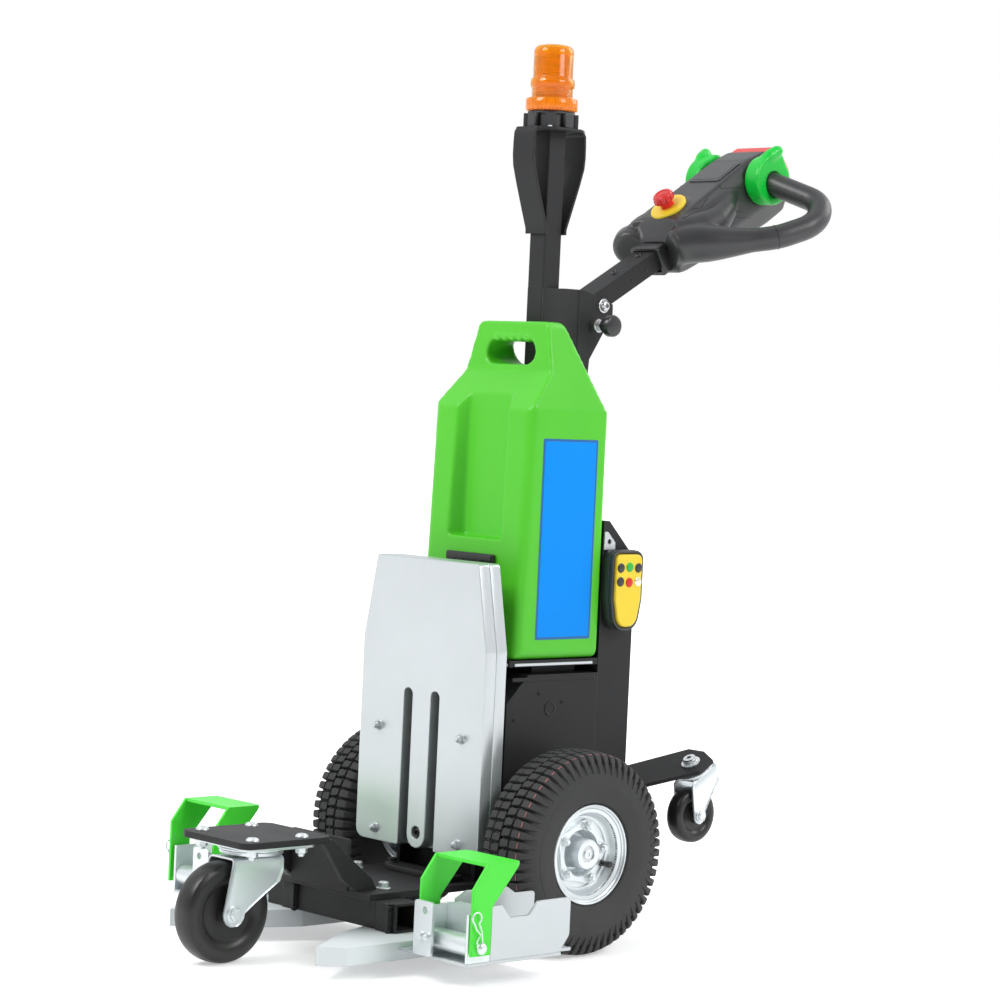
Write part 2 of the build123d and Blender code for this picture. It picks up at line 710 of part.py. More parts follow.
for side, sign in SIDES:
    swivel = Plane(origin=(sign * rear_x, rear_head_y, rear_head_z), x_dir=(1, 0, 0), z_dir=rear_normal)
    head_depth = rear_arm_thick + rear_head_height
    hub_plane = swivel.offset(-rear_arm_thick - rear_fork_drop)
    hub_at = hub_plane.from_local_coords((0, -rear_trail, 0))
    axle_plane = Plane(origin=hub_at, x_dir=(0, rear_cos, rear_sin), z_dir=(1, 0, 0))

    with BuildPart() as rear_head:
        with BuildSketch(swivel.offset(-head_depth)):
            Circle(rear_head_radius)
        extrude(amount=rear_head_height)
        with BuildSketch(swivel.offset(-head_depth)):
            Circle(rear_kingpin)
        extrude(amount=-fork_top_gap - rear_fork_wall - fork_top_gap)
    pieces[f"rear_castor_head_{side}"] = rear_head.part

    with BuildPart() as rear_fork:
        fork_crown = swivel.offset(-head_depth - fork_top_gap)
        with BuildSketch(fork_crown):
            Circle(rear_head_radius - rear_edge)
            Circle(rear_kingpin + running_gap, mode=Mode.SUBTRACT)
        extrude(amount=-rear_fork_wall)
        leg_height = rear_fork_drop + rear_arm_thick - head_depth - fork_top_gap
        for way in (-1, 1):
            leg_plane = axle_plane.offset(way * (rear_fork_half - rear_fork_wall / 2) - rear_fork_wall / 2)
            with BuildSketch(leg_plane):
                with BuildLine():
                    Polyline(
                        (rear_trail - rear_fork_leg / 2, leg_height),
                        (rear_trail + rear_fork_leg / 2, leg_height),
                        (rear_trail + rear_fork_leg / 2, leg_height - rear_fork_shoulder),
                        (rear_fork_foot / 2, 0), (-rear_fork_foot / 2, 0),
                        close=True)
                make_face()
                Circle(rear_fork_foot / 2)
            extrude(amount=rear_fork_wall)
        with BuildSketch(axle_plane.offset(-rear_fork_half - rear_axle_over)):
            Circle(rear_bore)
        extrude(amount=2 * (rear_fork_half + rear_axle_over))
        for way in (-1, 1):
            with BuildSketch(axle_plane.offset(way * rear_fork_half)):
                RegularPolygon(rear_axle_head, 6)
            extrude(amount=way * rear_axle_over)
    pieces[f"rear_castor_fork_{side}"] = rear_fork.part

    with BuildPart() as rear_wheel:
        with BuildSketch(Plane(origin=hub_at, x_dir=(1, 0, 0), z_dir=(0, -1, 0))):
            with Locations((0, (rear_radius + rear_bore + running_gap) / 2)):
                Rectangle(rear_width, rear_radius - rear_bore - running_gap)
            fillet(vertices().group_by(Axis.Z)[-1], rear_edge)
        revolve(axis=Axis(hub_at, (1, 0, 0)))
    pieces[f"rear_castor_wheel_{side}"] = rear_wheel.part

# Battery canister: outline from the front cut by its profile from the side
battery_front_low = -46.0
battery_front_high = -36.0
battery_rear = 98.0
battery_face_z = 735.0
battery_face_front = 6.0
battery_top_front = 12.0
battery_top_rear = 40.0
battery_top_half = 66.0
battery_round = 12.0
recess_outer = 54.0
recess_inner = 40.0
recess_depth = 26.0
recess_low = 518.0
handle_half = 46.0
handle_height = 32.0
handle_z = 760.0
latch_bar_half = 45.0
latch_bar_low = 484.0
latch_bar_height = 14.0
latch_bar_proud = 7.0
channel_half = 31.0
channel_depth = 20.0
battery_lean = (battery_front_high - battery_front_low) / (battery_shoulder - battery_bottom)

with BuildPart() as battery:
    with BuildSketch(Plane.XZ.offset(-axle_y - battery_rear)):
        with BuildLine():
            Polyline(
                (-battery_half, battery_bottom), (-battery_half, battery_shoulder),
                (-battery_top_half, battery_top), (battery_top_half, battery_top),
                (battery_half, battery_shoulder), (battery_half, battery_bottom),
                close=True)
        make_face()
        fillet(vertices(), battery_round)
    extrude(amount=battery_rear - battery_front_low)
    with BuildSketch(Plane.YZ.offset(-battery_half)):
        with BuildLine():
            Polyline(
                (axle_y + battery_front_low, battery_bottom),
                (axle_y + battery_front_high, battery_shoulder),
                (axle_y + battery_face_front, battery_face_z), (axle_y + battery_top_front, battery_top),
                (axle_y + battery_top_rear, battery_top), (axle_y + battery_rear, battery_shoulder),
                (axle_y + battery_rear, battery_bottom),
                close=True)
        make_face()
    extrude(amount=2 * battery_half, mode=Mode.INTERSECT)
    # Round the long front edges, which lean back with the front face
    with BuildSketch(Plane.XY.offset(battery_bottom)):
        with Locations((0, axle_y + (battery_front_low + 2 * battery_rear) / 2)):
            RectangleRounded(2 * battery_half, 2 * battery_rear - battery_front_low, battery_round)
    extrude(amount=battery_top, dir=(0, battery_lean, 1), mode=Mode.INTERSECT)
    with BuildSketch(Plane.XY.offset(recess_low)):
        with BuildLine():
            Polyline(
                (-recess_outer, axle_y + battery_front_low), (recess_outer, axle_y + battery_front_low),
                (recess_inner, axle_y + battery_front_low + recess_depth),
                (-recess_inner, axle_y + battery_front_low + recess_depth),
                close=True)
        make_face()
    extrude(amount=battery_top - recess_low, mode=Mode.SUBTRACT)
    with BuildSketch(Plane.XZ.offset(-axle_y - battery_rear)):
        with Locations((0, handle_z)):
            SlotOverall(2 * handle_half, handle_height)
    extrude(amount=battery_rear - battery_front_low, mode=Mode.SUBTRACT)
    # Channel in the back that slides down over the mast
    with BuildSketch(Plane.XY.offset(battery_bottom)):
        with Locations((0, mast_y + (battery_rear - mast_back) / 2 - channel_depth / 2)):
            Rectangle(2 * channel_half, battery_rear - mast_back + channel_depth)
    extrude(amount=battery_top - battery_bottom, mode=Mode.SUBTRACT)
pieces["battery_case"] = battery.part

latch_back = battery_front_low + (latch_bar_low - battery_bottom) * battery_lean - seat_gap
with BuildPart() as latch_bar:
    with BuildSketch(Plane.XY.offset(latch_bar_low)):
        with Locations((0, axle_y + latch_back - latch_bar_proud / 2)):
            Rectangle(2 * latch_bar_half, latch_bar_proud)
    extrude(amount=latch_bar_height)
pieces["battery_latch"] = latch_bar.part

# Mast with its spread bracket, and the beacon on top
mast_wall = 2.5
spread_half = 20.0
spread_reach = 44.0
spread_swell = 46.0
spread_thick = 4.0
spread_foot_z = 930.0
spread_knee_z = 985.0
spread_knee = 36.0
spread_swell_z = 1022.0
spread_top = 1054.0
spread_lap = 14.0
spread_plate_radius = 42.0
beacon_base_radius = 35.0
beacon_base_height = 22.0
beacon_core_radius = 24.0
beacon_flange = 4.0
beacon_tabs = 8
beacon_tab_width = 13.0
beacon_tab_thick = 5.0
lens_ring_radius = 32.5
lens_low_radius = 26.0
lens_bulge_radius = 27.5
lens_high_radius = 25.5
lens_cap_radius = 22.5
lens_crown_radius = 15.0
lens_ring_top = 17.0
lens_bulge_low = 30.0
lens_bulge_top = 44.0
lens_shoulder = 76.0
lens_cap_z = 84.0
lens_height = 88.0

with BuildPart() as mast:
    with BuildSketch(Plane.XY.offset(shelf_top)):
        with Locations((0, mast_y)):
            RectangleRounded(mast_size, mast_size, mast_wall)
            Rectangle(mast_size - 2 * mast_wall, mast_size - 2 * mast_wall, mode=Mode.SUBTRACT)
    extrude(amount=spread_top - spread_thick - shelf_top)
pieces["mast"] = mast.part

with BuildPart() as spread:
    for way in (-1, 1):
        outer = [
            (mast_size / 2 + spread_thick, spread_foot_z), (spread_knee, spread_knee_z),
            (spread_swell, spread_swell_z), (spread_reach, spread_top)]
        inner = [
            (spread_reach - spread_thick, spread_top), (spread_swell - spread_thick, spread_swell_z),
            (spread_knee - spread_thick, spread_knee_z), (mast_size / 2, spread_foot_z + spread_thick),
            (mast_size / 2, spread_foot_z - spread_lap),
            (mast_size / 2 + spread_thick, spread_foot_z - spread_lap)]
        with BuildSketch(Plane.YZ.offset(-spread_half)):
            with BuildLine():
                Polyline(*[(mast_y + way * depth, z) for depth, z in outer + inner], close=True)
            make_face()
        extrude(amount=2 * spread_half)
    with BuildSketch(Plane.XY.offset(spread_top - spread_thick)):
        with Locations((0, mast_y)):
            Rectangle(2 * spread_half, 2 * spread_reach)
            Circle(spread_plate_radius)
    extrude(amount=spread_thick)
pieces["beacon_bracket"] = spread.part

lens_low = spread_top + beacon_base_height
with BuildPart() as beacon_base:
    with BuildSketch(Plane.XY.offset(spread_top)):
        with Locations((0, mast_y)):
            Circle(beacon_core_radius)
    extrude(amount=beacon_base_height)
    # Upright tabs round the core, under a flange that carries the lens
    with BuildSketch(Plane.XY.offset(spread_top)):
        with Locations((0, mast_y)):
            with PolarLocations(beacon_base_radius - beacon_tab_thick, beacon_tabs):
                Rectangle(beacon_tab_thick, beacon_tab_width)
    extrude(amount=beacon_base_height - beacon_flange)
    with BuildSketch(Plane.XY.offset(lens_low - beacon_flange)):
        with Locations((0, mast_y)):
            Circle(beacon_base_radius)
    extrude(amount=beacon_flange)
pieces["beacon_base"] = beacon_base.part

with BuildPart() as lens:
    with BuildSketch(Plane.XZ.offset(-mast_y)):
        with BuildLine():
            Polyline(
                (0, lens_low + lens_height), (0, lens_low), (lens_ring_radius, lens_low),
                (lens_ring_radius, lens_low + lens_ring_top),
                (lens_low_radius, lens_low + lens_ring_top), (lens_low_radius, lens_low + lens_bulge_low),
                (lens_bulge_radius, lens_low + lens_bulge_low),
                (lens_bulge_radius, lens_low + lens_bulge_top),
                (lens_high_radius, lens_low + lens_bulge_top), (lens_high_radius, lens_low + lens_shoulder))
            ThreePointArc(
                (lens_high_radius, lens_low + lens_shoulder), (lens_cap_radius, lens_low + lens_cap_z),
                (lens_crown_radius, lens_low + lens_height))
            Line((lens_crown_radius, lens_low + lens_height), (0, lens_low + lens_height))
        make_face()
    revolve(axis=Axis((0, mast_y, 0), (0, 0, 1)))
pieces["beacon_lens"] = lens.part

# Tiller bracket: two gusset plates behind the mast, with the pivot bolt and index plunger
gusset_inner = 22.0
gusset_thick = 4.0
gusset_top = 846.0
gusset_flat_back = 112.0
gusset_nose_back = 166.0
gusset_nose_low = 815.0
gusset_neck_back = 126.0
gusset_neck_z = 755.0
gusset_foot_back = 114.0
pivot_radius = 6.0
pivot_head = 10.0
pivot_head_thick = 7.0
plunger_back = 132.0
plunger_z = 800.0
plunger_radius = 5.0
plunger_collar = 9.0
plunger_collar_length = 12.0
plunger_knob = 12.0
plunger_knob_length = 18.0
plunger_neck = 10.0
arm_side = 20.0
arm_low_n = -8.0
arm_high_n = 18.0
arm_tail = 20.0
arm_end = 190.0
gusset_y = axle_y + mast_back + mast_size / 2

with BuildPart() as gusset:
    for way in (-1, 1):
        with BuildSketch(Plane.YZ.offset(way * (gusset_inner + gusset_thick / 2) - gusset_thick / 2)):
            with BuildLine():
                Polyline(
                    (gusset_y, column_top), (gusset_y, gusset_top), (axle_y + gusset_flat_back, gusset_top),
                    (axle_y + gusset_nose_back, gusset_nose_low + 2 * gusset_inner / 3),
                    (axle_y + gusset_nose_back, gusset_nose_low), (axle_y + gusset_neck_back, gusset_neck_z),
                    (axle_y + gusset_foot_back, column_top),
                    close=True)
            make_face()
            with Locations((pivot_y, pivot_z)):
                Circle(pivot_radius + running_gap, mode=Mode.SUBTRACT)
            with Locations((axle_y + plunger_back, plunger_z)):
                Circle(plunger_radius + running_gap, mode=Mode.SUBTRACT)
        extrude(amount=gusset_thick)
    with BuildSketch(Plane.XY.offset(column_top)):
        with Locations((0, gusset_y + gusset_thick / 2)):
            Rectangle(2 * gusset_inner, gusset_thick)
    extrude(amount=gusset_top - column_top)
pieces["tiller_bracket"] = gusset.part

with BuildPart() as bolt:
    with BuildSketch(Plane.YZ.offset(-gusset_inner - gusset_thick)):
        with Locations((pivot_y, pivot_z)):
            Circle(pivot_radius)
    extrude(amount=2 * (gusset_inner + gusset_thick))
    for way in (-1, 1):
        with BuildSketch(Plane.YZ.offset(way * (gusset_inner + gusset_thick))):
            with Locations((pivot_y, pivot_z)):
                RegularPolygon(pivot_head, 6)
        extrude(amount=way * pivot_head_thick)
pieces["tiller_pivot_bolt"] = bolt.part

plunger_x = gusset_inner + gusset_thick
with BuildPart() as plunger:
    for start, radius, length in (
            (gusset_inner, plunger_radius, gusset_thick),
            (plunger_x, plunger_collar, plunger_collar_length),
            (plunger_x + plunger_collar_length, plunger_radius, plunger_neck),
            (plunger_x + plunger_collar_length + plunger_neck, plunger_knob, plunger_knob_length)):
        with BuildSketch(Plane.YZ.offset(start)):
            with Locations((axle_y + plunger_back, plunger_z)):
                Circle(radius)
        extrude(amount=length)
pieces["index_plunger"] = plunger.part

# The tiller is drawn in its own slope: first number along it from the pivot, second square to it
slope_plane = Plane(origin=(0, pivot_y, pivot_z), x_dir=(0, tiller_cos, tiller_sin), z_dir=(1, 0, 0))
along = Vector(0, tiller_cos, tiller_sin)
square = Vector(0, -tiller_sin, tiller_cos)

with BuildPart() as tiller:
    with BuildSketch(slope_plane.offset(-arm_side)):
        with Locations(((arm_end - arm_tail) / 2, (arm_low_n + arm_high_n) / 2)):
            Rectangle(arm_end + arm_tail, arm_high_n - arm_low_n)
        with Locations((0, 0)):
            Circle(pivot_radius + running_gap, mode=Mode.SUBTRACT)
    extrude(amount=2 * arm_side)
pieces["tiller_arm"] = tiller.part

head_half = 44.0
head_top_half = 34.0
head_low_half = 30.0
head_side_high = 38.0
head_side_low = -10.0
head_round = 8.0
head_front = 134.0
head_chin = -20.0
head_brow = 147.0
head_brow_high = 23.0
head_crown = 168.0
head_crown_high = 47.0
head_ridge = 334.0
head_ridge_high = 57.0
head_back = 372.0
head_back_high = 53.0
head_back_low = -38.0
head_tail = 386.0
head_belly = 333.0
head_belly_low = -42.0
head_throat = 152.0
head_throat_low = -25.0
head_outline = [
    (head_front, head_chin), (head_brow, head_brow_high), (head_crown, head_crown_high),
    (head_ridge, head_ridge_high), (head_back, head_back_high), (head_tail, 0),
    (head_back, head_back_low), (head_belly, head_belly_low), (head_throat, head_throat_low)]
panel_start = 270.0
panel_end = 325.0
panel_half = 30.0
panel_thick = 1.5
stop_place = 194.0
stop_ring_radius = 26.0
stop_ring_thick = 3.0
stop_radius = 14.0
stop_neck = 9.0
stop_height = 20.0
stop_cap = 12.0
belly_half = 38.0
belly_depth = 14.0
belly_high = 50.0
grip_roll = 22.0
grip_pitch = 3.6
grip_lift = 24.7
grip_root_u = 40.0
grip_root_v = 130.0
grip_wide = 170.0
grip_turn_v = 258.0
grip_turn_radius = 88.0
grip_bend_radius = 32.0
grip_root_radius = 21.0
grip_root_length = 75.0
grip_root_taper = 4.6
grip_end = 40.0
paddle_width = 25.0
paddle_radius = 34.0
paddle_lobe = 16.0
paddle_reach = 34.0

with BuildPart() as head:
    with BuildSketch(slope_plane.offset(-head_half)):
        with BuildLine():
            Polyline(*head_outline, close=True)
        make_face()
        fillet(vertices(), head_round)
    extrude(amount=2 * head_half)
    # Sides that lean in above and below the grips' roots
    with BuildSketch(Plane(origin=(0, pivot_y, pivot_z), x_dir=(-1, 0, 0), z_dir=along)):
        with BuildLine():
            Polyline(
                (-head_top_half, head_ridge_high), (head_top_half, head_ridge_high),
                (head_half, head_side_high), (head_half, head_side_low),
                (head_low_half, head_belly_low), (-head_low_half, head_belly_low),
                (-head_half, head_side_low), (-head_half, head_side_high),
                close=True)
        make_face()
        fillet(vertices(), head_round)
    extrude(amount=head_rear, mode=Mode.INTERSECT)
    with BuildSketch(slope_plane.offset(-arm_side - seat_gap)):
        with Locations(((arm_end + seat_gap) / 2, (arm_low_n + arm_high_n) / 2)):
            Rectangle(arm_end + seat_gap, arm_high_n - arm_low_n + 2 * seat_gap)
    extrude(amount=2 * arm_side + 2 * seat_gap, mode=Mode.SUBTRACT)
pieces["tiller_head"] = head.part

top_slope = (head_ridge_high - head_crown_high) / (head_ridge - head_crown)
with BuildPart() as panel:
    with BuildSketch(slope_plane.offset(-panel_half)):
        with BuildLine():
            Polyline(
                *[(place, head_crown_high + (place - head_crown) * top_slope + rise)
                  for place, rise in ((panel_start, 0), (panel_end, 0), (panel_end, panel_thick),
                                      (panel_start, panel_thick))],
                close=True)
        make_face()
    extrude(amount=2 * panel_half)
pieces["head_panel"] = panel.part

stop_n = head_crown_high + (stop_place - head_crown) * top_slope
stop_at = Vector(0, pivot_y, pivot_z) + along * stop_place + square * stop_n
stop_plane = Plane(origin=stop_at, x_dir=(1, 0, 0), z_dir=square - along * top_slope)
with BuildPart() as stop_ring:
    with BuildSketch(stop_plane):
        Circle(stop_ring_radius)
    extrude(amount=stop_ring_thick)
pieces["stop_ring"] = stop_ring.part

with BuildPart() as stop_button:
    with BuildSketch(stop_plane.offset(stop_ring_thick)):
        Circle(stop_neck)
    extrude(amount=stop_height)
    with BuildSketch(stop_plane.offset(stop_ring_thick + stop_height - stop_cap)):
        Circle(stop_radius)
    extrude(amount=stop_cap)
pieces["stop_button"] = stop_button.part

with BuildPart() as belly:
    with BuildSketch(slope_plane.offset(-belly_half)):
        with BuildLine():
            Polyline(
                (head_rear - 2 * belly_depth, belly_high), (head_rear - belly_depth / 2, belly_high),
                (head_rear, belly_high - belly_depth), (head_rear, belly_low + belly_depth / 2),
                (head_rear - belly_depth / 2, belly_low), (head_rear - 2 * belly_depth, belly_low),
                close=True)
        make_face()
    extrude(amount=2 * belly_half)
    add(head.part, mode=Mode.SUBTRACT)
pieces["belly_switch"] = belly.part

paddle_inner = head_half + seat_gap
for side, sign in SIDES:
    roll = radians(grip_roll)
    pitch = radians(grip_pitch)
    outward = Vector(sign * cos(roll), 0, 0) - square * sin(roll)
    rearward = along * cos(pitch) + square * sin(pitch)
    grip_plane = Plane(
        origin=Vector(0, pivot_y, pivot_z) + square * grip_lift,
        x_dir=outward, z_dir=outward.cross(rearward))
    with BuildPart() as grip:
        with BuildLine(grip_plane) as grip_path:
            FilletPolyline(
                (grip_root_u, grip_root_v), (grip_wide, grip_turn_v),
                (grip_wide, grip_back), (grip_end, grip_back),
                radius=[grip_turn_radius, grip_bend_radius])
        with BuildSketch(Plane(origin=grip_path.line @ 0, z_dir=grip_path.line % 0)):
            Circle(grip_radius)
        sweep(path=grip_path.line)
        with BuildSketch(Plane(origin=grip_path.line @ 0, z_dir=grip_path.line % 0)):
            Circle(grip_root_radius)
        extrude(amount=grip_root_length, taper=grip_root_taper)
        add(head.part, mode=Mode.SUBTRACT)
        split(bisect_by=Plane.YZ.offset(sign * head_half), keep=Keep.TOP if sign > 0 else Keep.BOTTOM)
    pieces[f"grip_{side}"] = grip.part

    paddle_plane = Plane(origin=(sign * paddle_inner, pivot_y, pivot_z), x_dir=along, z_dir=(sign, 0, 0))
    paddle_n = grip_lift + grip_back * sin(pitch) - (paddle_inner + paddle_width / 2) * sin(roll)
    with BuildPart() as paddle:
        with BuildSketch(paddle_plane):
            with Locations((grip_back, sign * paddle_n)):
                Circle(paddle_radius)
            with Locations((grip_back + paddle_reach / 2, sign * (paddle_n + paddle_reach / 2))):
                Circle(paddle_lobe)
        extrude(amount=paddle_width)
        add(grip.part, mode=Mode.SUBTRACT)
    pieces[f"thumb_paddle_{side}"] = paddle.part

# Remote control in its rubber holder on the side of the column
remote_back = 132.0
remote_half = 29.0
remote_foot_half = 20.0
remote_top = 508.0
remote_waist = 440.0
remote_low = 402.0
remote_round = 12.0
holder_thick = 20.0
remote_rim = 5.0
remote_sunk = 6.0
remote_proud = 3.0

with BuildPart() as holder:
    for inset, start, depth, way in (
            (0, 0, holder_thick, Mode.ADD),
            (remote_rim, holder_thick - remote_sunk, remote_sunk, Mode.SUBTRACT)):
        with BuildSketch(Plane.YZ.offset(column_half + start)):
            with BuildLine():
                Polyline(
                    (axle_y + remote_back - remote_half + inset, remote_top - inset),
                    (axle_y + remote_back + remote_half - inset, remote_top - inset),
                    (axle_y + remote_back + remote_half - inset, remote_waist),
                    (axle_y + remote_back + remote_foot_half - inset, remote_low + inset),
                    (axle_y + remote_back - remote_foot_half + inset, remote_low + inset),
                    (axle_y + remote_back - remote_half + inset, remote_waist),
                    close=True)
            make_face()
            fillet(vertices(), remote_round - inset)
        extrude(amount=depth, mode=way)
pieces["remote_holder"] = holder.part

remote_inset = remote_rim + seat_gap
with BuildPart() as remote:
    with BuildSketch(Plane.YZ.offset(column_half + holder_thick - remote_sunk)):
        with BuildLine():
            Polyline(
                (axle_y + remote_back - remote_half + remote_inset, remote_top - remote_inset),
                (axle_y + remote_back + remote_half - remote_inset, remote_top - remote_inset),
                (axle_y + remote_back + remote_half - remote_inset, remote_waist),
                (axle_y + remote_back + remote_foot_half - remote_inset, remote_low + remote_inset),
                (axle_y + remote_back - remote_foot_half + remote_inset, remote_low + remote_inset),
                (axle_y + remote_back - remote_half + remote_inset, remote_waist),
                close=True)
        make_face()
        fillet(vertices(), remote_round - remote_inset)
    extrude(amount=remote_sunk + remote_proud)
pieces["remote_case"] = remote.part

for label, solid in pieces.items():
    solid.label = label
    export_step(solid, f"parts/{label}.step")
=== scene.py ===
"""Dressed model of a walk-behind electric tow tractor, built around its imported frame.

The castor end faces -Y and the operator stands at +Y. Tables and helper calls are in
millimetres, with depths measured back from the drive axle; Blender's own data is in metres.
"""
from math import acos, cos, pi, radians, sin, tan, tau

import bmesh
import bpy
from bpy.props import FloatProperty, FloatVectorProperty, IntProperty, PointerProperty
from bpy.types import Operator, Panel, PropertyGroup
from mathutils import Matrix, Vector
from mathutils.bvhtree import BVHTree


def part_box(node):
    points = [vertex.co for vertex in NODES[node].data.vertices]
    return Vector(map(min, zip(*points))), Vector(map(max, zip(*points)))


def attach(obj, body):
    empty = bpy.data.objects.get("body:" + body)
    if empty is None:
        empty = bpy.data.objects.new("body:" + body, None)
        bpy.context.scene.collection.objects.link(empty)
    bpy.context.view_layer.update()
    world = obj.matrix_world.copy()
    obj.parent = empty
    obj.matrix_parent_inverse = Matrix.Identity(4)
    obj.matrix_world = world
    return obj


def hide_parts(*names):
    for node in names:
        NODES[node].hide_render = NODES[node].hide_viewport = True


bl_info = {
    "name": "Electric tow tractor",
    "version": (1, 0, 0),
    "blender": (4, 5, 0),
    "location": "3D View > Sidebar > Tow tractor",
    "description": "Finishes and details for a walk-behind electric tow tractor",
    "category": "Object",
}

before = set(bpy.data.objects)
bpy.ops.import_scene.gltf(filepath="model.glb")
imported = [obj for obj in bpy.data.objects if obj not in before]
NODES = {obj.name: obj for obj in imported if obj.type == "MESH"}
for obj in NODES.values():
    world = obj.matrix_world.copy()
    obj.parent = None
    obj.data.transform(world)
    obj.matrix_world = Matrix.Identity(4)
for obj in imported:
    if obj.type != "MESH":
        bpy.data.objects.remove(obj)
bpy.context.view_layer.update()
MM = 0.001
SIDES = (("left", -1), ("right", 1))
TYRE_LOW, TYRE_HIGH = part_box("tyre_right")
AXLE_Y = (TYRE_LOW.y + TYRE_HIGH.y) / 2
AXLE_Z = (TYRE_LOW.z + TYRE_HIGH.z) / 2 / MM

# Places across the machine: drive wheels, sides of housing and column, bracket cheek, rear castors
WHEEL_X = 168
CASE_X = 95
COLUMN_X = 92
CHEEK_X = 27.4
REAR_CASTOR_X = 134
# Depth behind the axle and height of the pivots; the plunger's comes after its place across
PIVOT = (147, 827)
PLUNGER = (22, 132, 800)
LATCH = (-271, 53)
FRONT_SWIVEL = (-384, 147)
REAR_SWIVEL = (245, 226)
# Depth of the ballast's front face, and heights of the base plate's top and the beacon's seats
BALLAST_FRONT = -119
PLATE_TOP = 84
BEACON_SEAT = 1054
LENS_SEAT = 1076
# The tiller leans back by this much, and the rear castors' plate with it
TILT = radians(30)
ALONG = Vector((0, cos(TILT), sin(TILT)))
SQUARE = Vector((0, -sin(TILT), cos(TILT)))
# Tyre's radius over the tread, the lug height this allows, and how deep the lugs' roots go
TREAD_RADIUS = 130.0
LUG_ROOM = 5.0
LUG_ROOT = 6.5


# Sizes and colours
class TractorSizes(PropertyGroup):
    lug_count: IntProperty(
        name="Lugs round a tyre", description="Tread blocks in each row of a drive tyre",
        default=60, min=24, max=90)
    lug_height: FloatProperty(
        name="Lug height", description="How far the tread stands out of the tyre's casing",
        default=0.0048, unit="LENGTH")
    grip_thickness: FloatProperty(
        name="Grip thickness", description="Diameter of the handle loops",
        default=0.033, unit="LENGTH")
    lens_flutes: IntProperty(
        name="Lens flutes", description="Upright flutes round the beacon's lens",
        default=36, min=12, max=90)


def shade(name, description, colour):
    """Colour property for the panel."""
    return FloatVectorProperty(
        name=name, description=description, subtype="COLOR", size=3, min=0, max=1, default=colour)


class TractorColours(PropertyGroup):
    battery: shade("Battery", "Moulded battery case", (0.085, 0.55, 0.022))
    lever: shade("Levers", "Powder coat on the latch levers", (0.075, 0.86, 0.045))
    paddle: shade("Paddles", "Thumb paddles on the tiller head", (0.0, 0.6, 0.045))
    label: shade("Label", "Blank label on the battery", (0.0, 0.3, 0.98))
    coat: shade("Powder coat", "Black coat on the frame", (0.016, 0.016, 0.017))
    moulding: shade("Moulding", "Black plastic of the tiller head", (0.026, 0.026, 0.028))
    zinc: shade("Zinc", "Galvanised plates and brackets", (0.6, 0.635, 0.65))
    rubber: shade("Rubber", "Drive tyres", (0.042, 0.042, 0.042))
    amber: shade("Amber", "Beacon lens", (1.0, 0.47, 0.008))
    stop: shade("Stop red", "Stop button and belly switch", (0.78, 0.012, 0.01))
    warning: shade("Yellow", "Ring under the stop button, and the remote", (0.98, 0.72, 0.035))


# Shapes
def spot(x, back, z):
    """Point from its place across, its depth behind the drive axle and its height."""
    return Vector((x * MM, AXLE_Y + back * MM, z * MM))


def stand(origin, run, rise):
    """Frame at origin: first axis along run, second towards rise, third square to both."""
    first = Vector(run).normalized()
    third = first.cross(Vector(rise)).normalized()
    turn = Matrix((first, third.cross(first), third)).transposed()
    return Matrix.Translation(origin) @ turn.to_4x4()


def along(origin, axis):
    """Frame whose third axis is the given one."""
    axis = Vector(axis).normalized()
    run = Vector((0, 0, 1)) if abs(axis.z) < 0.9 else Vector((0, 1, 0))
    return stand(origin, run.cross(axis), axis.cross(run.cross(axis)))


def side_plane(x):
    """Upright frame on the side at x: depth behind the axle, then height."""
    return stand(spot(x, 0, 0), (0, 1, 0), (0, 0, 1))


def front_plane(back, x=0, z=0):
    """Upright frame facing forward at a depth: place across, then height."""
    return stand(spot(x, back, z), (1, 0, 0), (0, 0, 1))


def flat_plane():
    """Flat frame: place across, then depth behind the axle."""
    return stand(spot(0, 0, 0), (1, 0, 0), (0, 1, 0))


def rounded(corners, radius=0.0, steps=5):
    """Outline with its corners turned to arcs; a corner's third number is its own radius."""
    line = []
    count = len(corners)
    for k, corner in enumerate(corners):
        here = Vector(corner[:2])
        size = corner[2] if len(corner) > 2 else radius
        before = Vector(corners[k - 1][:2]) - here
        after = Vector(corners[(k + 1) % count][:2]) - here
        if not size:
            line.append(tuple(here))
            continue
        bend = acos(max(-1, min(1, before.normalized().dot(after.normalized()))))
        reach = min(size / tan(bend / 2), before.length * 0.49, after.length * 0.49)
        size = reach * tan(bend / 2)
        middle = here + (before.normalized() + after.normalized()).normalized() * (size / sin(bend / 2))
        first = here + before.normalized() * reach - middle
        sweep = first.angle_signed(here + after.normalized() * reach - middle, 0.0)
        for step in range(steps + 1):
            turned = first.copy()
            turned.rotate(Matrix.Rotation(-sweep * step / steps, 2))
            line.append(tuple(middle + turned))
    return line


def circle(u, v, radius, steps=28):
    """Round outline about a point."""
    return [(u + radius * cos(tau * k / steps), v + radius * sin(tau * k / steps)) for k in range(steps)]


def rectangle(u0, u1, v0, v1, radius=0.0):
    """Outline between two limits each way, its corners rounded where a radius is given."""
    return rounded([(u0, v0), (u1, v0), (u1, v1), (u0, v1)], radius)


def inset(line, amount):
    """Outline moved inwards by amount, or outwards where amount is negative."""
    area = sum(a[0] * b[1] - b[0] * a[1] for a, b in zip(line, line[1:] + line[:1]))
    amount = amount if area > 0 else -amount
    moved = []
    for k, point in enumerate(line):
        here = Vector(point)
        into = (here - Vector(line[k - 1])).normalized()
        out = (Vector(line[(k + 1) % len(line)]) - here).normalized()
        mean = (into + out).normalized()
        normal = Vector((-mean.y, mean.x))
        moved.append(tuple(here + normal * (amount / max(0.4, mean.dot(into)))))
    return moved


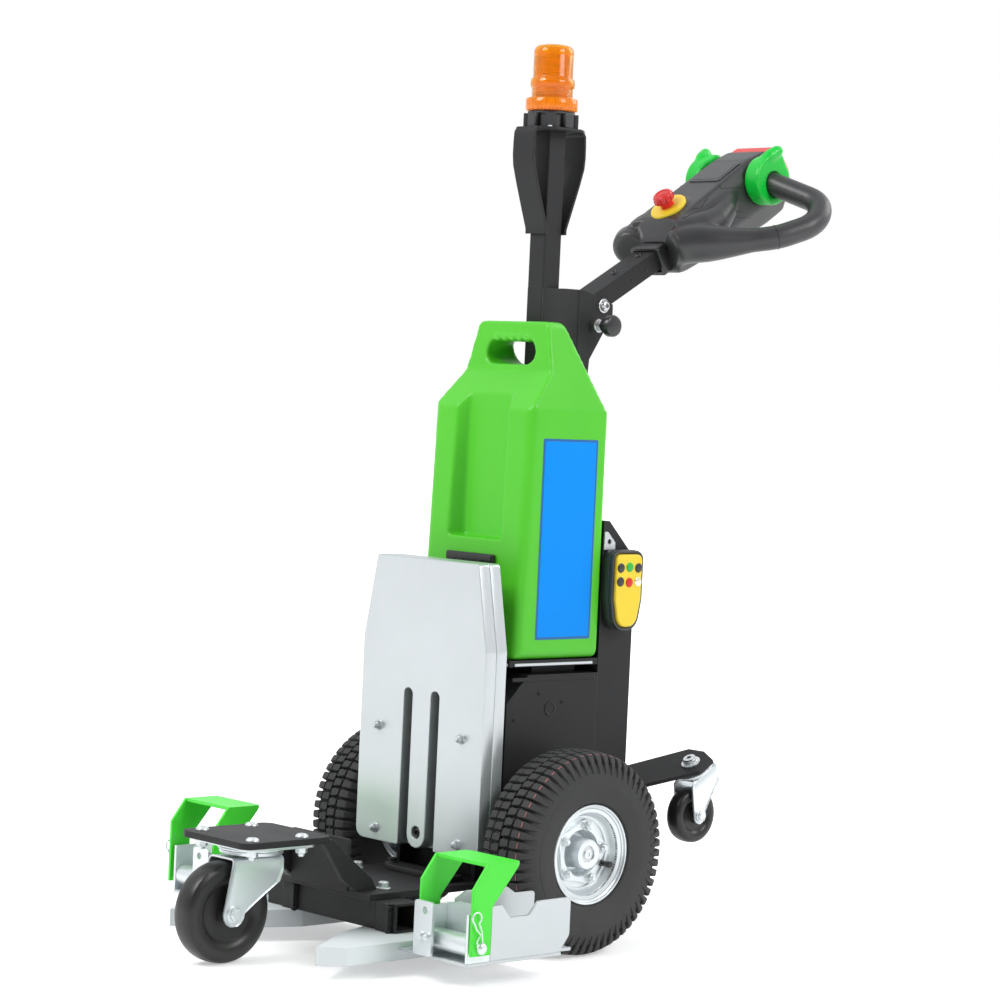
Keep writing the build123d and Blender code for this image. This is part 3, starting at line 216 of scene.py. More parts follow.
def plate(bm, loops, matrix, low, high, edge=0.6):
    """Adds a plate with eased edges: first loop outside, the rest holes."""
    curve = bpy.data.curves.new("outline", "CURVE")
    curve.dimensions = "2D"
    curve.fill_mode = "BOTH"
    curve.extrude = (abs(high - low) / 2 - edge) * MM
    curve.bevel_depth = edge * MM
    curve.bevel_resolution = 1
    for k, loop in enumerate(loops):
        line = curve.splines.new("POLY")
        eased = inset(loop, edge if k == 0 else -edge)
        line.points.add(len(eased) - 1)
        for point, (u, v) in zip(line.points, eased):
            point.co = (u * MM, v * MM, 0, 1)
        line.use_cyclic_u = True
    holder = bpy.data.objects.new("outline", curve)
    mesh = bpy.data.meshes.new_from_object(holder)
    mesh.transform(matrix @ Matrix.Translation((0, 0, (low + high) / 2 * MM)))
    bm.from_mesh(mesh)
    bpy.data.objects.remove(holder)
    bpy.data.curves.remove(curve)
    bpy.data.meshes.remove(mesh)


def lathe(bm, profile, matrix, steps=48, closed=True):
    """Adds a turned shape from (height, radius) pairs about the matrix's third axis."""
    rings = []
    for k in range(steps):
        turn = tau * k / steps
        rings.append([bm.verts.new(matrix @ Vector((r * cos(turn) * MM, r * sin(turn) * MM, h * MM)))
                      for h, r in profile])
    span = len(profile) if closed else len(profile) - 1
    for k in range(steps):
        here, there = rings[k], rings[(k + 1) % steps]
        for j in range(span):
            m = (j + 1) % len(profile)
            bm.faces.new((here[j], there[j], there[m], here[m]))
    bmesh.ops.remove_doubles(bm, verts=[v for ring in rings for v in ring], dist=1e-7)


def tube(bm, path, radii, sides=14, caps=True):
    """Adds a tube along path; radii is one size or one for each point, in millimetres."""
    path = [Vector(p) for p in path]
    radii = radii if isinstance(radii, (list, tuple)) else [radii] * len(path)
    side = None
    rings = []
    for k, here in enumerate(path):
        way = (path[min(k + 1, len(path) - 1)] - path[max(k - 1, 0)]).normalized()
        if side is None:
            side = way.orthogonal().normalized()
        side = (side - way * side.dot(way)).normalized()
        other = way.cross(side)
        rings.append([bm.verts.new(here + (side * cos(tau * j / sides) + other * sin(tau * j / sides))
                                   * radii[k] * MM) for j in range(sides)])
    skin(bm, rings, caps)


def skin(bm, rings, caps=True, closed=True):
    """Joins rings of vertices with quads."""
    count = len(rings[0])
    for here, there in zip(rings, rings[1:]):
        for j in range(count if closed else count - 1):
            m = (j + 1) % count
            bm.faces.new((here[j], here[m], there[m], there[j]))
    if caps:
        bm.faces.new(rings[0][::-1])
        bm.faces.new(rings[-1])


def stub(bm, origin, axis, low, high, radius, ease=(0.3, 0.6), steps=28):
    """Adds a washer or a thread's round end, its rim eased along and across."""
    lathe(bm, [(low, 0), (low, radius), (high - ease[0], radius), (high, radius - ease[1]), (high, 0)],
          along(origin, axis), steps, False)


def hexagon(bm, origin, axis, across, height, washer=0.0):
    """Adds a hex head or nut with its corners turned off, on a washer where one is given."""
    place = along(origin, axis)
    corner = across / 2 / cos(pi / 6)
    if washer:
        lathe(bm, [(0, across / 2), (0, washer), (1.0, washer), (1.4, washer - 0.5), (1.4, across / 2)],
              place, 28)
    base = 1.4 if washer else 0.0
    lathe(bm, [(base, 0), (base, corner), (base + height - 1.1, corner), (base + height, corner - 1.2),
               (base + height, 0)], place, 6, False)
    lathe(bm, [(base + height - 0.6, 0), (base + height - 0.6, across / 2 - 0.7),
               (base + height + 0.15, across / 2 - 1.0), (base + height + 0.15, 0)], place, 24, False)


def dome(bm, origin, axis, radius, height, socket=0.0):
    """Adds a domed bolt head, with a dished socket where one is given."""
    share = [(0, 1), (0.35, 0.97), (0.7, 0.82), (0.92, 0.6), (1.0, 0.4)]
    profile = [(0, 0)] + [(height * h, radius * r) for h, r in share]
    if socket:
        profile += [(height, socket), (height * 0.35, socket), (height * 0.35, 0)]
    else:
        profile += [(height * 1.02, 0)]
    lathe(bm, profile, along(origin, axis), 24, False)


def piece(name, bm, body, look, replaces=(), smooth=32):
    """Finishes a mesh: material, soft shading, the body it rides on and the nodes it stands for."""
    bmesh.ops.recalc_face_normals(bm, faces=bm.faces)
    mesh = bpy.data.meshes.new(name)
    bm.to_mesh(mesh)
    bm.free()
    mesh.materials.append(bpy.data.materials[look])
    mesh.shade_smooth()
    mesh.set_sharp_from_angle(angle=radians(smooth))
    item = bpy.data.objects.new(name, mesh)
    bpy.context.scene.collection.objects.link(item)
    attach(item, body)
    if replaces:
        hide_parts(*replaces)
    return item


def swap(item, modifiers):
    """Applies modifiers, given as (kind, settings) pairs, to the piece's mesh."""
    for kind, settings in modifiers:
        modifier = item.modifiers.new(kind.title(), kind)
        for key, value in settings.items():
            setattr(modifier, key, value)
    bpy.context.view_layer.update()
    looks = list(item.data.materials)
    shaped = bpy.data.meshes.new_from_object(item.evaluated_get(bpy.context.evaluated_depsgraph_get()))
    item.modifiers.clear()
    item.data = shaped
    shaped.name = item.name
    if not shaped.materials:
        for look in looks:
            shaped.materials.append(look)


def copied(bm, name):
    """Adds a copy of one of the frame's own meshes."""
    bm.from_mesh(NODES[name].data)


def melt(item, voxel, rounds):
    """Joins what overlaps in a piece into one skin and softens its edges."""
    swap(item, [("REMESH", {"mode": "VOXEL", "voxel_size": voxel, "use_smooth_shade": True}),
                ("SMOOTH", {"factor": 0.5, "iterations": rounds})])


def seam(bm, item, points, radius=0.45):
    """Lays a thin line over a piece's skin through the given points."""
    skin_tree = BVHTree.FromObject(item, bpy.context.evaluated_depsgraph_get())
    path = []
    for here, there in zip(points, points[1:]):
        for k in range(12):
            near = skin_tree.find_nearest(Vector(here).lerp(Vector(there), k / 12))
            path.append(near[0] + near[1] * 0.0001)
    tube(bm, path, radius, 6)


# Finishes
def node_group(name, inputs, outputs):
    """Empty shader group with named sockets, and its input and output nodes."""
    group = bpy.data.node_groups.new(name, "ShaderNodeTree")
    for socket, kind, value in inputs:
        made = group.interface.new_socket(socket, in_out="INPUT", socket_type=kind)
        made.default_value = value
    for socket, kind in outputs:
        group.interface.new_socket(socket, in_out="OUTPUT", socket_type=kind)
    return group, group.nodes.new("NodeGroupInput"), group.nodes.new("NodeGroupOutput")


def put(tree, kind, links=None, **settings):
    """Adds a node; links maps its input sockets to values or to other nodes' outputs."""
    node = tree.nodes.new(kind)
    for key, value in settings.items():
        setattr(node, key, value)
    for key, value in (links or {}).items():
        if hasattr(value, "is_output"):
            tree.links.new(value, node.inputs[key])
        else:
            node.inputs[key].default_value = value
    return node


def calc(tree, operation, first, second, clamp=False):
    """Result of a Math node on two values or other nodes' outputs."""
    return put(tree, "ShaderNodeMath", {0: first, 1: second}, operation=operation,
               use_clamp=clamp).outputs[0]


def object_place(tree):
    """Object coordinates, so that an effect moves with its piece."""
    return put(tree, "ShaderNodeTexCoord").outputs["Object"]


def make_groups():
    """Shared effects: patchy tone, fine grain, edges lightened partly by wear and partly by painted
    highlight, and floor dust.
    """
    group, given, out = node_group(
        "Patchy tone", [("Size", "NodeSocketFloat", 9.0), ("Spread", "NodeSocketFloat", 0.5)],
        [("Mask", "NodeSocketFloat")])
    cloud = put(group, "ShaderNodeTexNoise", {
        "Vector": object_place(group), "Scale": given.outputs["Size"], "Detail": 4.0, "Roughness": 0.6})
    spread = calc(group, "SUBTRACT", cloud.outputs["Fac"], 0.5)
    wide = calc(group, "MULTIPLY", spread, given.outputs["Spread"])
    group.links.new(calc(group, "ADD", wide, 0.5, True), out.inputs["Mask"])

    group, given, out = node_group(
        "Fine grain", [("Size", "NodeSocketFloat", 900.0), ("Stretch", "NodeSocketVector", (1, 1, 1))],
        [("Height", "NodeSocketFloat")])
    pulled = put(group, "ShaderNodeVectorMath", {0: object_place(group), 1: given.outputs["Stretch"]},
                 operation="MULTIPLY")
    speck = put(group, "ShaderNodeTexNoise", {
        "Vector": pulled.outputs[0], "Scale": given.outputs["Size"], "Detail": 2.0, "Roughness": 0.55})
    group.links.new(speck.outputs["Fac"], out.inputs["Height"])

    # Edges found by the Bevel node take a lighter colour: partly wear, partly a painted highlight along eased
    # edges.
    group, given, out = node_group(
        "Worn and highlighted edge", [("Radius", "NodeSocketFloat", 0.0015), ("Amount", "NodeSocketFloat", 0.6)],
        [("Mask", "NodeSocketFloat"), ("Normal", "NodeSocketVector")])
    soft = put(group, "ShaderNodeBevel", {"Radius": given.outputs["Radius"]}, samples=4)
    true = put(group, "ShaderNodeNewGeometry").outputs["Normal"]
    match = put(group, "ShaderNodeVectorMath", {0: soft.outputs[0], 1: true}, operation="DOT_PRODUCT")
    gap = calc(group, "SUBTRACT", 1.0, match.outputs["Value"])
    chips = put(group, "ShaderNodeTexNoise", {
        "Vector": object_place(group), "Scale": 90.0, "Detail": 5.0})
    broken = calc(group, "MULTIPLY", gap, chips.outputs["Fac"])
    group.links.new(calc(group, "MULTIPLY", broken, given.outputs["Amount"], True), out.inputs["Mask"])
    group.links.new(soft.outputs[0], out.inputs["Normal"])

    group, given, out = node_group(
        "Floor dust", [("Height", "NodeSocketFloat", 0.16), ("Amount", "NodeSocketFloat", 0.25)],
        [("Mask", "NodeSocketFloat")])
    place = object_place(group)
    parts = put(group, "ShaderNodeSeparateXYZ", {0: place})
    low = put(group, "ShaderNodeMapRange", {
        "Value": parts.outputs["Z"], "From Min": 0.0, "From Max": given.outputs["Height"],
        "To Min": 1.0, "To Max": 0.0})
    cloud = put(group, "ShaderNodeTexNoise", {"Vector": place, "Scale": 26.0, "Detail": 6.0})
    mixed = calc(group, "MULTIPLY", low.outputs[0], cloud.outputs["Fac"])
    group.links.new(calc(group, "MULTIPLY", mixed, given.outputs["Amount"], True), out.inputs["Mask"])


def effect(tree, group, **values):
    """Outputs of a shared effect, with the given inputs set."""
    node = tree.nodes.new("ShaderNodeGroup")
    node.node_tree = bpy.data.node_groups[group]
    for key, value in values.items():
        node.inputs[key.replace("_", " ")].default_value = value
    return node.outputs


def blend_colour(tree, mask, low, high):
    """Mix of two colours, each a value or another node's output, by a mask."""
    node = tree.nodes.new("ShaderNodeMix")
    node.data_type = "RGBA"
    tree.links.new(mask, node.inputs["Factor"])
    for socket, value in ((node.inputs[6], low), (node.inputs[7], high)):
        if hasattr(value, "is_output"):
            tree.links.new(value, socket)
        else:
            socket.default_value = (*value[:3], 1)
    return node.outputs[2]


def make_finish(name, colour, second, tone, grain, rough, bump, wear_and_highlight, wear_and_highlight_colour, dust, shader):
    """One surface: two tones in patches, fine grain in the gloss and relief, edges lightened partly by wear
    and partly by painted highlight, dust.
    """
    look = bpy.data.materials.new(name)
    look.use_nodes = True
    tree = look.node_tree
    surface = tree.nodes["Principled BSDF"]
    for key, value in shader.items():
        surface.inputs[key].default_value = value
    patch = effect(tree, "Patchy tone", Size=tone[0], Spread=tone[1])["Mask"]
    specks = effect(tree, "Fine grain", Size=grain[0], Stretch=grain[1])["Height"]
    edge = effect(tree, "Worn and highlighted edge", Radius=wear_and_highlight[0], Amount=wear_and_highlight[1])
    paint = blend_colour(tree, patch, colour, second)
    # Lighter edges: partly wear, partly painted highlight.
    paint = blend_colour(tree, edge["Mask"], paint, wear_and_highlight_colour)
    if dust:
        low = effect(tree, "Floor dust", Height=0.2, Amount=dust)["Mask"]
        paint = blend_colour(tree, low, paint, (0.42, 0.4, 0.37))
    tree.links.new(paint, surface.inputs["Base Color"])
    gloss = put(tree, "ShaderNodeMapRange", {
        "Value": calc(tree, "ADD", patch, specks), "From Min": 0.6, "From Max": 1.4,
        "To Min": rough[0], "To Max": rough[1]})
    tree.links.new(gloss.outputs[0], surface.inputs["Roughness"])
    relief = put(tree, "ShaderNodeBump", {
        "Strength": bump[0], "Distance": bump[1], "Height": specks, "Normal": edge["Normal"]})
    tree.links.new(relief.outputs[0], surface.inputs["Normal"])
    return look


def scaled(colour, share):
    """Lighter or darker tone of a colour."""
    return tuple(min(1.0, c * share) for c in colour)


def make_finishes(tones):
    """Columns: name, colour, second tone, tone size and spread, grain size and stretch, least and
    most roughness, bump strength and depth, edge radius and amount, edge colour (partly wear, partly
    painted highlight), dust, shader.
    Plated finishes stay above a roughness of 0.28, where a fine grain shows as specks."""
    even = (1, 1, 1)
    upright = (1, 1, 0.06)
    across = (0.08, 0.08, 1)
    rows = (
        # The powder coat's edge colour is mostly a painted highlight along its eased edges.
        ("Powder coat", tones.coat, scaled(tones.coat, 1.35), (14, 0.9), (1500, even), (0.46, 0.6),
         (0.10, 0.0004), (0.0018, 1.2), (0.2, 0.2, 0.21), 0.05, {"Specular IOR Level": 0.26}),
        ("Green coat", tones.lever, scaled(tones.lever, 0.88), (20, 0.8), (1300, even), (0.32, 0.46),
         (0.08, 0.0003), (0.0012, 0.5), scaled(tones.lever, 1.25), 0.0, {}),
        ("Zinc plate", tones.zinc, scaled(tones.zinc, 0.9), (7, 1.1), (420, even), (0.3, 0.38),
         (0.008, 0.0001), (0.0014, 0.5), (0.9, 0.91, 0.92), 0.0, {"Metallic": 0.64}),
        # Duller zinc for the blades, its colour raised to paint light over the shade that the trays cast on
        # them.
        ("Dull zinc with painted light", scaled(tones.zinc, 1.38), scaled(tones.zinc, 1.26), (14, 0.9), (520, even),
         (0.42, 0.56), (0.02, 0.0002), (0.0014, 0.6), (0.95, 0.96, 0.97), 0.0, {"Metallic": 0.1}),
        ("Bright zinc", scaled(tones.zinc, 1.32), scaled(tones.zinc, 1.2), (18, 0.7), (900, even),
         (0.29, 0.36), (0.005, 0.0001), (0.0008, 0.5), (0.95, 0.96, 0.97), 0.0, {"Metallic": 0.6}),
        ("Machined steel", (0.6, 0.6, 0.61), (0.5, 0.5, 0.52), (40, 1.0), (700, across), (0.29, 0.38),
         (0.05, 0.0002), (0.0005, 0.6), (0.8, 0.8, 0.8), 0.0, {"Metallic": 1.0}),
        ("Battery plastic", tones.battery, scaled(tones.battery, 1.12), (9, 0.9), (700, even), (0.3, 0.42),
         (0.05, 0.0004), (0.003, 0.5), scaled(tones.battery, 1.5), 0.0, {"Specular IOR Level": 0.4}),
        ("Blank label", tones.label, scaled(tones.label, 0.93), (16, 0.6), (500, even), (0.3, 0.42),
         (0.03, 0.0002), (0.0005, 0.2), tones.label, 0.0, {"Specular IOR Level": 0.15}),
        ("Label border", scaled(tones.label, 0.42), scaled(tones.label, 0.38), (16, 0.6), (500, even),
         (0.3, 0.42), (0.03, 0.0002), (0.0005, 0.2), tones.label, 0.0, {}),
        ("Paddle plastic", tones.paddle, scaled(tones.paddle, 0.9), (22, 0.8), (900, even), (0.29, 0.38),
         (0.03, 0.0002), (0.0015, 0.4), scaled(tones.paddle, 1.4), 0.0, {}),
        ("Black moulding", tones.moulding, scaled(tones.moulding, 1.3), (12, 0.9), (1700, even), (0.34, 0.48),
         (0.12, 0.0004), (0.0015, 0.7), (0.09, 0.09, 0.095), 0.0, {"Specular IOR Level": 0.6}),
        ("Smooth black", scaled(tones.moulding, 0.8), tones.moulding, (12, 0.7), (900, even), (0.2, 0.32),
         (0.03, 0.0002), (0.001, 0.6), (0.08, 0.08, 0.085), 0.0, {}),
        ("Tyre rubber", tones.rubber, scaled(tones.rubber, 1.45), (24, 1.1), (1100, even), (0.62, 0.82),
         (0.2, 0.0004), (0.0008, 1.0), (0.13, 0.13, 0.13), 0.06, {"Specular IOR Level": 0.25}),
        ("Castor rubber", scaled(tones.rubber, 0.26), scaled(tones.rubber, 0.42), (30, 1.0), (900, even),
         (0.26, 0.4), (0.06, 0.0003), (0.0015, 0.9), (0.08, 0.08, 0.08), 0.05, {"Specular IOR Level": 0.4}),
        ("Stop red", tones.stop, scaled(tones.stop, 0.85), (40, 0.8), (900, even), (0.22, 0.34),
         (0.03, 0.0002), (0.001, 0.4), scaled(tones.stop, 1.25), 0.0, {}),
        ("Warning yellow", tones.warning, scaled(tones.warning, 0.9), (40, 0.8), (900, even), (0.3, 0.44),
         (0.04, 0.0002), (0.001, 0.4), scaled(tones.warning, 1.1), 0.0, {}),
        ("Marking pink", (0.5, 0.13, 0.14), (0.36, 0.14, 0.15), (200, 2.0), (900, even), (0.5, 0.7),
         (0.05, 0.0002), (0.0005, 0.2), (0.55, 0.2, 0.2), 0.0, {}),
        ("Button green", (0.02, 0.5, 0.06), (0.02, 0.42, 0.05), (60, 0.8), (900, even), (0.25, 0.4),
         (0.03, 0.0002), (0.0005, 0.3), (0.1, 0.7, 0.2), 0.0, {}),
        ("Amber core", (1.0, 0.42, 0.01), (0.8, 0.27, 0.004), (60, 1.2), (500, upright), (0.25, 0.4),
         (0.1, 0.0004), (0.0008, 0.4), (1.0, 0.6, 0.1), 0.0, {}),
        ("Clear core", (0.9, 0.8, 0.6), (0.8, 0.7, 0.5), (60, 1.2), (500, upright), (0.12, 0.2),
         (0.05, 0.0004), (0.0008, 0.4), (1.0, 1.0, 0.9), 0.0, {"Metallic": 0.8}),
        ("Amber lens", tones.amber, scaled(tones.amber, 0.93), (30, 0.8), (600, upright), (0.05, 0.12),
         (0.06, 0.0004), (0.0008, 0.2), (1.0, 0.5, 0.1), 0.0, {"Transmission Weight": 0.75, "IOR": 1.4}),
    )
    for row in rows:
        make_finish(*row)


# Tyres and rims
class TRACTOR_OT_finishes(Operator):
    """Make the finishes and put them on the frame's own parts"""
    bl_idname = "tractor.finishes"
    bl_label = "Finishes"

    def execute(self, context):
        make_groups()
        make_finishes(context.scene.tractor_colours)
        plain = {
            "Powder coat": (
                "chassis_base", "cross_tube", "castor_arm", "drive_housing", "drive_unit", "battery_shelf",
                "column", "front_frame", "mast", "beacon_bracket", "tiller_bracket", "tiller_arm",
                "rear_castor_plate"),
            "Zinc plate": ("ballast_front", "ballast_rear", "pocket_tray_left", "pocket_tray_right"),
            # The blades' zinc carries painted light against the trays' shade.
            "Dull zinc with painted light": ("blade_left", "blade_right"),
            "Bright zinc": (
                "front_castor_head", "front_castor_fork", "latch_bracket_left", "latch_bracket_right",
                "rear_castor_head_left", "rear_castor_head_right", "rear_castor_fork_left",
                "rear_castor_fork_right", "rim_left", "rim_right"),
            "Machined steel": (
                "tiller_pivot_bolt", "lever_pin_left", "lever_pin_right", "drive_shaft_left",
                "drive_shaft_right"),
            "Smooth black": ("battery_latch", "head_panel", "index_plunger"),
            "Black moulding": (
                "beacon_base", "tiller_head", "grip_left", "grip_right", "remote_holder"),
            "Battery plastic": ("battery_case",),
            "Amber lens": ("beacon_lens",),
            "Castor rubber": ("front_castor_wheel", "rear_castor_wheel_left", "rear_castor_wheel_right"),
            "Tyre rubber": ("tyre_left", "tyre_right"),
            "Stop red": ("stop_button", "belly_switch"),
            "Warning yellow": ("stop_ring", "remote_case"),
            "Paddle plastic": ("thumb_paddle_left", "thumb_paddle_right"),
            "Green coat": ("latch_lever_left", "latch_lever_right"),
        }
        for look, names in plain.items():
            for name in names:
                NODES[name].data.materials.clear()
                NODES[name].data.materials.append(bpy.data.materials[look])
        return {"FINISHED"}


def tread_radius(x, lug):
    """Radius of the tread's top at x from the tyre's middle, rounding down past the crown."""
    crown = TREAD_RADIUS - (x / 40.0) ** 2 * 2.2
    return crown - (LUG_ROOM - lug)


class TRACTOR_OT_tyres(Operator):
    """Build the drive tyres with their block tread"""
    bl_idname = "tractor.tyres"
    bl_label = "Drive tyres"

    def execute(self, context):
        sizes = context.scene.tractor_sizes
        count = sizes.lug_count
        lug = sizes.lug_height / MM
        half = [(27, 53), (28, 58), (29.5, 62.8), (32.5, 65.5), (34.5, 66.2), (35.2, 68.2), (35.4, 72),
                (37, 79), (37.6, 88), (37.7, 92), (37.3, 92.6), (37.3, 100), (36, 107), (34, 113),
                (30.5, 117.5), (25, 120.6), (15, 123.0), (5, 123.6)]
        casing = half + [(-x, r) for x, r in reversed(half)]
        # Columns: blocks of the two middle rows (across, share of a pitch round the tyre)
        block = ((1.2, -0.32), (6.5, -0.44), (8.5, -0.34), (14.6, -0.40), (14.6, 0.20), (10.5, 0.34),
                 (8.0, 0.30), (1.2, 0.42))
        # Columns: shoulder lug stations (across, radius, half width as a share of a pitch)
        shoulder = ((17.4, 129.0, 0.33), (26.0, 128.0, 0.35), (31.0, 125.6, 0.33), (34.8, 119.5, 0.28),
                    (37.2, 111.0, 0.2), (37.9, 103.5, 0.05))
        for side, sign in SIDES:
            hub = along(spot(sign * WHEEL_X, 0, AXLE_Z), (sign, 0, 0))

            def on_tyre(x, r, turn):
                return hub @ Vector((r * cos(turn) * MM, r * sin(turn) * MM, x * MM))

            bm = bmesh.new()
            lathe(bm, casing, hub, 120)
            for k in range(count):
                for way in (-1, 1):
                    middle = tau * (k + (0.5 if way > 0 else 0)) / count
                    rings = []
                    for drop, grow in ((LUG_ROOT, 1.14), (0.0, 0.96)):
                        rings.append([bm.verts.new(on_tyre(
                            way * x, tread_radius(x, lug) - drop, middle + way * share * grow * tau / count))
                            for x, share in block])
                    skin(bm, rings)
                    rings = []
                    for x, r, share in shoulder:
                        inner = r - LUG_ROOT if x < 34 else r - 2.5
                        rings.append([bm.verts.new(on_tyre(way * (x if r == rr else x - 2.5), rr,
                                                           middle + turn * share * tau / count))
                                      for rr, turn in ((inner, -1.25), (r, -1), (r, 1), (inner, 1.25))])
                    skin(bm, rings)
            tyre = piece(f"drive_tyre_{side}", bm, f"drive_wheel_{side}", "Tyre rubber",
                         (f"tyre_{side}",))
            swap(tyre, [("BEVEL", {"width": 0.0004, "segments": 1, "limit_method": "ANGLE",
                                   "angle_limit": radians(35)})])
            bm = bmesh.new()
            for k in range(count):
                start, end = tau * (k + 0.26) / count, tau * (k + 0.74) / count
                ring = [[on_tyre(x, r, turn) for turn in (start, (start + end) / 2, end)]
                        for x, r in ((29.2, 127.1), (30.3, 126.7))]
                rows = [[bm.verts.new(p) for p in line] for line in ring]
                skin(bm, rows, False, False)
            piece(f"tread_marking_{side}", bm, f"drive_wheel_{side}", "Marking pink")
        return {"FINISHED"}


class TRACTOR_OT_rims(Operator):
    """Build the plated rims with their bolted hub flange and valve"""
    bl_idname = "tractor.rims"
    bl_label = "Rims"

    def execute(self, context):
        # Sections as height along the axle and radius
        lip = [(-33, 62.5), (-33, 60), (-30, 57), (-20, 50), (11, 48), (11, 44), (14, 44), (14.6, 47.2),
               (16.4, 49), (18.4, 50.3), (23, 52.5), (27, 56), (29.5, 59), (30.3, 60.6), (31.4, 61.2),
               (32.6, 60.8), (33.4, 61.6), (33.4, 62.8), (32.4, 63.6), (31, 63.4), (29.6, 61.4),
               (28.5, 57), (27.2, 53),
               (-27.2, 53), (-29, 61), (-31, 63.4)]
        disc = [(9, 45), (12, 45), (12, 31), (11.4, 29.4), (9, 28.6), (-1, 27.5), (-4, 25), (-4, 20.5),
                (10, 19.6), (27.6, 19), (28.8, 18.4), (29, 17.6), (29, 11.2), (28.2, 10.2), (21, 10), (21, 5),
                (-28, 5), (-28, 29), (-12, 30.5), (7, 32)]
        first_bolt = radians(80)
        for side, sign in SIDES:
            hub = along(spot(sign * WHEEL_X, 0, AXLE_Z), (sign, 0, 0))
            face = stand(hub.translation, (0, sign, 0), (0, 0, 1))
            bm = bmesh.new()
            lathe(bm, lip, hub, 96)
            lathe(bm, disc, hub, 72)
            flange = []
            for k in range(60):
                turn = tau * k / 60
                reach = 36.5 + 6.5 * (0.5 + 0.5 * cos(5 * (turn - first_bolt))) ** 1.5
                flange.append((reach * cos(turn), reach * sin(turn)))
            plate(bm, [flange, circle(0, 0, 29.5, 48)], face, 11.5, 16, 0.6)
            lathe(bm, [(20, 0), (20, 6.6), (27.5, 6.6), (28.6, 5.6), (28.6, 3), (27.4, 2.6), (27.4, 0)],
                  hub, 24, False)
            for k in range(5):
                turn = first_bolt + tau * k / 5
                at = face @ Vector((35.5 * cos(turn) * MM, 35.5 * sin(turn) * MM, 0.016))
                hexagon(bm, at, hub.col[2].xyz, 10, 5.5, 6.8)
                stub(bm, at, hub.col[2].xyz, 6, 9.2, 3, (0.6, 0.6), 14)
            piece(f"wheel_rim_{side}", bm, f"drive_wheel_{side}", "Bright zinc", (f"rim_{side}",))
            bm = bmesh.new()
            valve_turn = radians(-22)
            stem = face @ Vector((42.5 * cos(valve_turn) * MM, 42.5 * sin(valve_turn) * MM, 0.008))
            lathe(bm, [(0, 0), (0, 6), (3, 5.2), (5, 3.8), (14, 3.6), (15, 4.2), (21, 4.2), (22, 3.4),
                       (22, 0)], along(stem, hub.col[2].xyz), 20, False)
            piece(f"tyre_valve_{side}", bm, f"drive_wheel_{side}", "Castor rubber")
        return {"FINISHED"}


# Castors
def castor_wheel(bm, hub, radius, width, bore):
    """Solid rubber castor wheel: barrel tread, dished sides and a plain bearing boss."""
    w = width / 2
    side = [(w * 0.72, bore), (w * 0.96, bore), (w * 0.98, bore + 5), (w * 0.66, bore + 6.5),
            (w * 0.56, radius * 0.46), (w * 0.6, radius * 0.56), (w * 0.82, radius * 0.62),
            (w * 0.97, radius * 0.7), (w, radius * 0.8), (w * 0.93, radius * 0.9), (w * 0.76, radius * 0.965),
            (w * 0.5, radius * 0.992), (w * 0.2, radius)]
    lathe(bm, side + [(-x, r) for x, r in reversed(side)], hub, 72)


def castor_fork(bm, crown, hub, half, wall, front, rear, saddle, foot):
    """Pressed fork: a saddle over the wheel, and legs that taper to round feet at the axle."""
    lift = (crown.inverted() @ hub.translation) / MM
    trail, drop = lift.y, -lift.z
    turn = half * 0.22
    # Columns: place across, height, outward normal across and up, front edge, rear edge
    path = [(0, 0, 0, 1, -saddle, rear), (half - turn, 0, 0.1, 1, -saddle, rear),
            (half - turn * 0.3, -turn * 0.3, 0.7, 0.7, -(saddle + front) / 2, rear),
            (half, -turn, 1, 0.1, -front, rear)]
    for share in (0.2, 0.42, 0.62, 0.82, 1.0):
        lean = max(0, (share - 0.38) / 0.62)
        path.append((half, -turn - (drop - turn) * share, 1, 0, -front + (trail - foot + front) * share,
                     rear + (trail + foot - rear) * lean ** 0.9))
    for dip in (0.4, 0.75, 0.95):
        reach = foot * (1 - dip * dip) ** 0.5
        path.append((half, -drop - foot * dip, 1, 0, trail - reach, trail + reach))
    whole = [(-x, z, -nx, nz, y0, y1) for x, z, nx, nz, y0, y1 in reversed(path[1:])] + path
    rings = []
    for x, z, nx, nz, y0, y1 in whole:
        normal = Vector((nx, 0, nz)).normalized()
        edge = min(3.0, (y1 - y0) * 0.2)
        ring = []
        for y, raise_by in ((y0, 0.9), (y0 + edge, -0.3), (y0 + 2 * edge, 0), (y1 - 2 * edge, 0),
                            (y1 - edge, -0.3), (y1, 0.9)):
            ring.append(Vector((x, y, z)) + normal * raise_by)
        ring += [point - normal * wall for point in reversed(ring)]
        rings.append([bm.verts.new(crown @ (point * MM)) for point in ring])
    skin(bm, rings)


